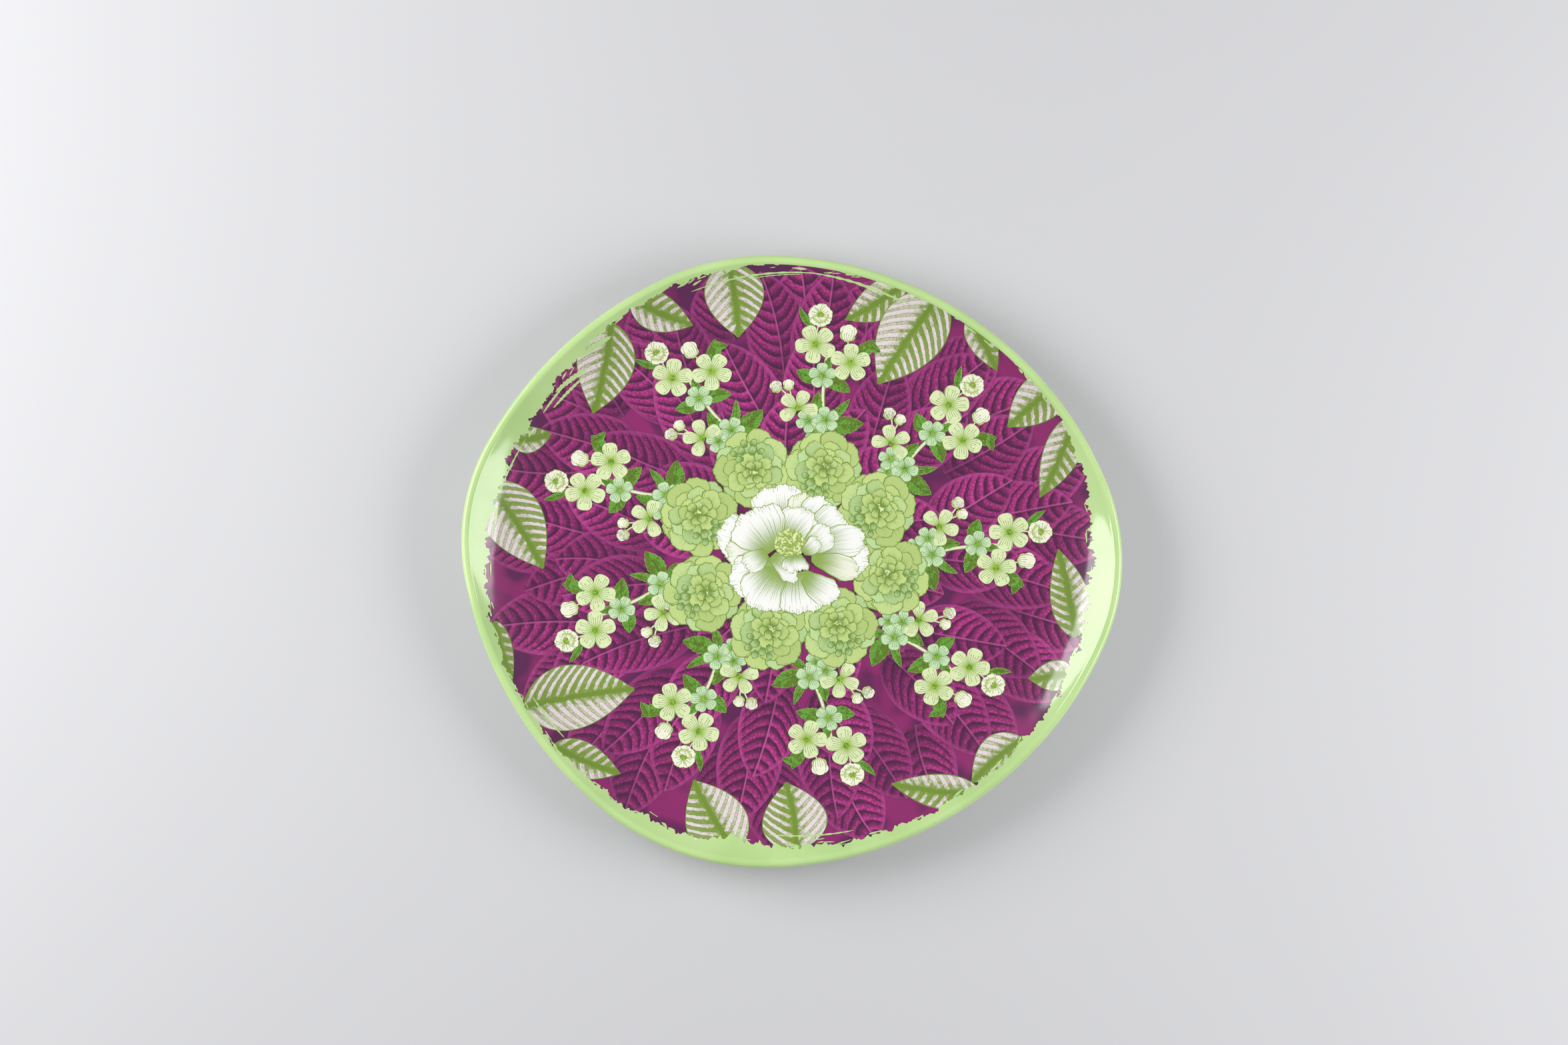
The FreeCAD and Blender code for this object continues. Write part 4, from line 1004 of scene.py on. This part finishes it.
# From the lowest petal up: its foot, its tip, its half width, how narrow its foot is, its tone.
PETALS = [
    ((-6, 12), (-11, 33.8), 14.5, 0.35, 0.3), ((2, 10), (9, 28.5), 10.5, 0.4, 0.8),
    ((6, 9), (20, 25), 11.0, 0.35, 0.3), ((8, 6), (28, 17), 11.0, 0.35, 0.2),
    ((-20, 3), (-41.5, 8), 12.5, 0.4, 0.5), ((-16, -3), (-37, -3), 9.5, 0.4, 0.7),
    ((12, 0), (39.5, 5), 9.5, 0.4, 0.4), ((10, -4), (42, -6), 11.5, 0.35, 0.1),
    ((-8, -12), (-34, -21), 14.5, 0.35, 0.3), ((-9, -13), (-22, -33.5), 14.0, 0.35, 0.2),
    ((3, -14), (8, -36.5), 14.5, 0.35, 0.1), ((6, -16), (24, -29), 8.0, 0.4, 0.3),
    ((12, -7), (36, -14.5), 7.0, 0.4, 0.9), ((-11, -2), (-25.5, 19.5), 16.5, 0.25, 0.1),
    ((-3, 3), (9, 19.5), 12.5, 0.3, 0.2), ((6, -1), (21, 9), 8.0, 0.35, 0.4),
    ((-15, -3), (-27, -11), 6.5, 0.45, 0.6), ((5, -3), (14, 4), 4.8, 0.4, 0.6),
    ((-12, -5), (1.5, -19), 5.2, 0.6, 0.2), ((1, -4.5), (1.5, -14), 7.6, 0.45, 0.3),
]
sheet = Transfer()
for number, (foot, tip, half, narrow, tone) in enumerate(PETALS):
    ruffled(sheet, MIDDLE + foot, MIDDLE + tip, half, IVORY_LIFT + PETAL_STEP * number,
            narrow=narrow, droop=0.3, ruffle=0.62, seed=number + 40, tone=tone,
            columns=61, rows=17, curl=(-1) ** number * 0.8)
disc(sheet, MIDDLE + (-2.0, 1.7), 8.4, IVORY_LIFT + PETAL_STEP * BOSS_OVER)
lay_print("ivory_petals", sheet.mesh("ivory_flower"), peony_material, "peony")

# --------------------------------------------------------------- the green band
# The last colour: a light green enamel, brushed round the lip over the prints
# and turned under it. Its inner edge is left ragged, with loose strokes beside it.
BAND_STEPS = 1440
LIP_LIFT = 0.28
TUCKED = 0.05
BRISTLE_MARKS = 150
STROKE_LIFT = 0.57
# How far from the pattern's middle the band's inner edge lies, by angle.
BAND_REACH = [(-180, 168), (-165, 170), (-150, 170), (-130, 169), (-110, 168), (-100, 162), (-90, 164),
              (-60, 163), (-30, 165), (0, 163), (10, 163), (40, 161), (60, 155), (80, 154), (95, 155),
              (120, 157), (140, 157), (150, 158), (165, 163), (180, 168)]
RAGGED_WAVES = [(23, 0.5), (41, 0.5), (77, 0.45), (121, 0.4), (190, 0.35), (262, 0.3), (397, 0.25),
                (530, 0.2)]
# The loose strokes: first and last angle, first and last reach, and width.
LOOSE_STROKES = [
    (112, 84, 150.5, 150, 0.9), (86, 66, 150, 146.5, 1.2), (76, 62, 147.5, 147, 0.7),
    (-78, -95, 158.5, 158, 0.9), (-140, -150, 163, 164.5, 1.0), (100, 88, 148.8, 149.2, 0.4),
    (147, 139, 155.5, 149.5, 2.6), (150, 141, 152, 148, 1.5), (138, 131, 156, 152.5, 3.0),
    (152, 144, 155.5, 153.5, 1.2), (170, 158, 164, 158, 0.8),
]
rim_points, rim_inward = walk_rim(BAND_STEPS)
away = rim_points - MIDDLE
angles = np.degrees(np.arctan2(away[:, 1], away[:, 0]))
reach = np.interp(angles, [a for a, _ in BAND_REACH], [r for _, r in BAND_REACH])
unit = away / np.linalg.norm(away, axis=1)[:, None]
band_width = from_rim(MIDDLE + unit * reach[:, None])[0]
luck = np.random.default_rng(5)
travel = np.arange(BAND_STEPS) * 2 * math.pi / BAND_STEPS
ragged = np.zeros(BAND_STEPS)
for waves, size in RAGGED_WAVES:
    ragged += size * np.sin(waves * travel + luck.uniform(0, 6.28))
band_width = np.maximum(band_width + ragged * (0.35 + 0.09 * band_width), WALL_TOP + 0.7)


def band_side(places, lift):
    """Section points over the face at these insets, lifted clear of the ware."""
    shift, height, _, _ = face_section(places, lift)
    return np.stack([places + shift, height], axis=-1)


def lip_turn(radius, steps):
    """Section points round the lip, from its top to where the back begins."""
    angle = np.linspace(math.pi / 2, 1.5 * math.pi - LIP_LEAN, steps)
    ring = np.column_stack([LIP_IN + radius * np.cos(angle), LIP_UP + radius * np.sin(angle)])
    return np.repeat(ring[None], BAND_STEPS, axis=0)


def same_all_round(points):
    """The same section points at every step round the rim."""
    return np.repeat(np.array(points)[None], BAND_STEPS, axis=0)


share = np.linspace(1, 0, 19)[:-1]
over = LIP_IN + (band_width[:, None] - LIP_IN) * share
rise = np.clip((over - LIP_IN) / 1.6, 0, 1)
top_side = band_side(over, GLAZE + LIP_LIFT * rise ** 2 * (3 - 2 * rise))
back_start = WALL_RUN - (BACK_RADIUS + GLAZE) * math.sin(LIP_LEAN)
under = same_all_round(wall_arc(BACK_RADIUS + GLAZE, back_start + 0.3, BAND_TUCK, 6))
inner_start = WALL_RUN - (BACK_RADIUS - TUCKED) * math.sin(LIP_LEAN)
inside = same_all_round(wall_arc(BACK_RADIUS - TUCKED, BAND_TUCK, inner_start + 0.3, 4))
below = band_side(LIP_IN + (band_width[:, None] - LIP_IN) * np.linspace(0, 1, 7)[1:],
                  np.full((BAND_STEPS, 6), -TUCKED))
sections = np.concatenate([top_side, lip_turn(WALL / 2 + GLAZE, 14), under, inside,
                           lip_turn(WALL / 2 - TUCKED, 8)[:, ::-1], below], axis=1)
band = Finish("green_enamel")
brushed = band.grain(26.0, 3.0).step(0.35, 0.7)
band_colour = band.blend(brushed, linear(190, 220, 148), linear(178, 211, 136))
band_colour = band.blend(band.grain(800.0, 2.0).step(0.5, 0.8) * 0.12, band_colour, linear(150, 196, 112))
band_material = band.paint(band_colour)
put("green_rim_band", sweep_round("green_band", sections), band_material, "rim_band")


def stroke(sheet, first, last, first_reach, last_reach, width, lift):
    """A thin brushed stroke that follows the rim, tapered at both ends."""
    steps = max(9, int(abs(last - first) * 3))
    turn = np.radians(np.linspace(first, last, steps))
    share = np.linspace(0, 1, steps)
    path = first_reach + (last_reach - first_reach) * share
    taper = np.sqrt(np.maximum(np.sin(share * math.pi), 0.01))
    wide = width * taper * (1 + 0.3 * np.sin(share * 57 + first))
    across, reach = np.meshgrid(np.linspace(-1, 1, 4), path)
    offset = across * wide[:, None] / 2
    x = MIDDLE[0] + (reach + offset) * np.cos(turn)[:, None]
    y = MIDDLE[1] + (reach + offset) * np.sin(turn)[:, None]
    along = np.repeat(share[:, None], 4, axis=1)
    sheet.add(x, y, lift, offset, along, (1 - np.abs(across)) * wide[:, None], across, along, 0.5)


def band_edge(angle):
    """How far from the pattern's middle the band's ragged edge lies, at an angle."""
    place = int(np.argmin(np.abs((angles - angle + 180) % 360 - 180)))
    return np.linalg.norm(rim_points[place] + rim_inward[place] * band_width[place] - MIDDLE)


sheet = Transfer()
for first, last, near, far, width in LOOSE_STROKES:
    stroke(sheet, first, last, near, far, width, STROKE_LIFT + 0.002)
luck = np.random.default_rng(11)
for _ in range(BRISTLE_MARKS):
    angle = luck.uniform(-180, 180)
    turn = luck.uniform(0.8, 3.2)
    start_reach = band_edge(angle) - luck.uniform(-0.6, 1.6)
    end_reach = start_reach + luck.uniform(-1.2, 1.2)
    stroke(sheet, angle, angle + turn, start_reach, end_reach, luck.uniform(0.3, 1.1), STROKE_LIFT)
lay_print("green_strokes", sheet.mesh("strokes"), band_material, "rim_band")

# ------------------------------------------------------------- the studio
# A plain pale floor, two broad soft lights at the sides and an even sky.
bpy.ops.mesh.primitive_plane_add(size=12.0, location=(0, 0, 0))
floor = bpy.context.object
floor.name = "studio_floor"
floor_paper = bpy.data.materials.new("pale_paper")
floor_paper.use_nodes = True
paper_surface = floor_paper.node_tree.nodes["Principled BSDF"]
paper_surface.inputs["Base Color"].default_value = linear(203, 203, 205)
paper_surface.inputs["Roughness"].default_value = 0.9
floor.data.materials.append(floor_paper)


def soft_light(name, place, width, depth, power):
    """A soft oval light that looks at the middle of the floor."""
    light = bpy.data.lights.new(name, "AREA")
    light.shape = "ELLIPSE"
    light.size, light.size_y, light.energy = width, depth, power
    lamp = bpy.data.objects.new(name, light)
    lamp.location = place
    lamp.rotation_euler = (-lamp.location).to_track_quat("-Z", "Y").to_euler()
    bpy.context.scene.collection.objects.link(lamp)


soft_light("left_softbox", (-1.16, 0.31, 0.72), 1.2, 0.8, 18.0)
soft_light("right_softbox", (1.2, -0.1, 0.68), 1.1, 0.8, 13.0)
world = bpy.data.worlds.new("studio_air")
world.use_nodes = True
air = world.node_tree.nodes["Background"]
air.inputs["Color"].default_value = (0.965, 0.97, 1.0, 1.0)
air.inputs["Strength"].default_value = 0.42
bpy.context.scene.world = world
bpy.context.scene.view_settings.view_transform = "Standard"

lens = bpy.data.cameras.new("studio_camera")
lens.lens = 80.0
camera = bpy.data.objects.new("studio_camera", lens)
aim = np.array([-0.0042, 0.0212, 0.012])
away = 1.91
tilt = math.radians(87)
camera.location = aim + away * np.array([0, -math.cos(tilt), math.sin(tilt)])
camera.rotation_euler = (math.pi / 2 - tilt, 0, 0)
bpy.context.scene.collection.objects.link(camera)
bpy.context.scene.camera = camera
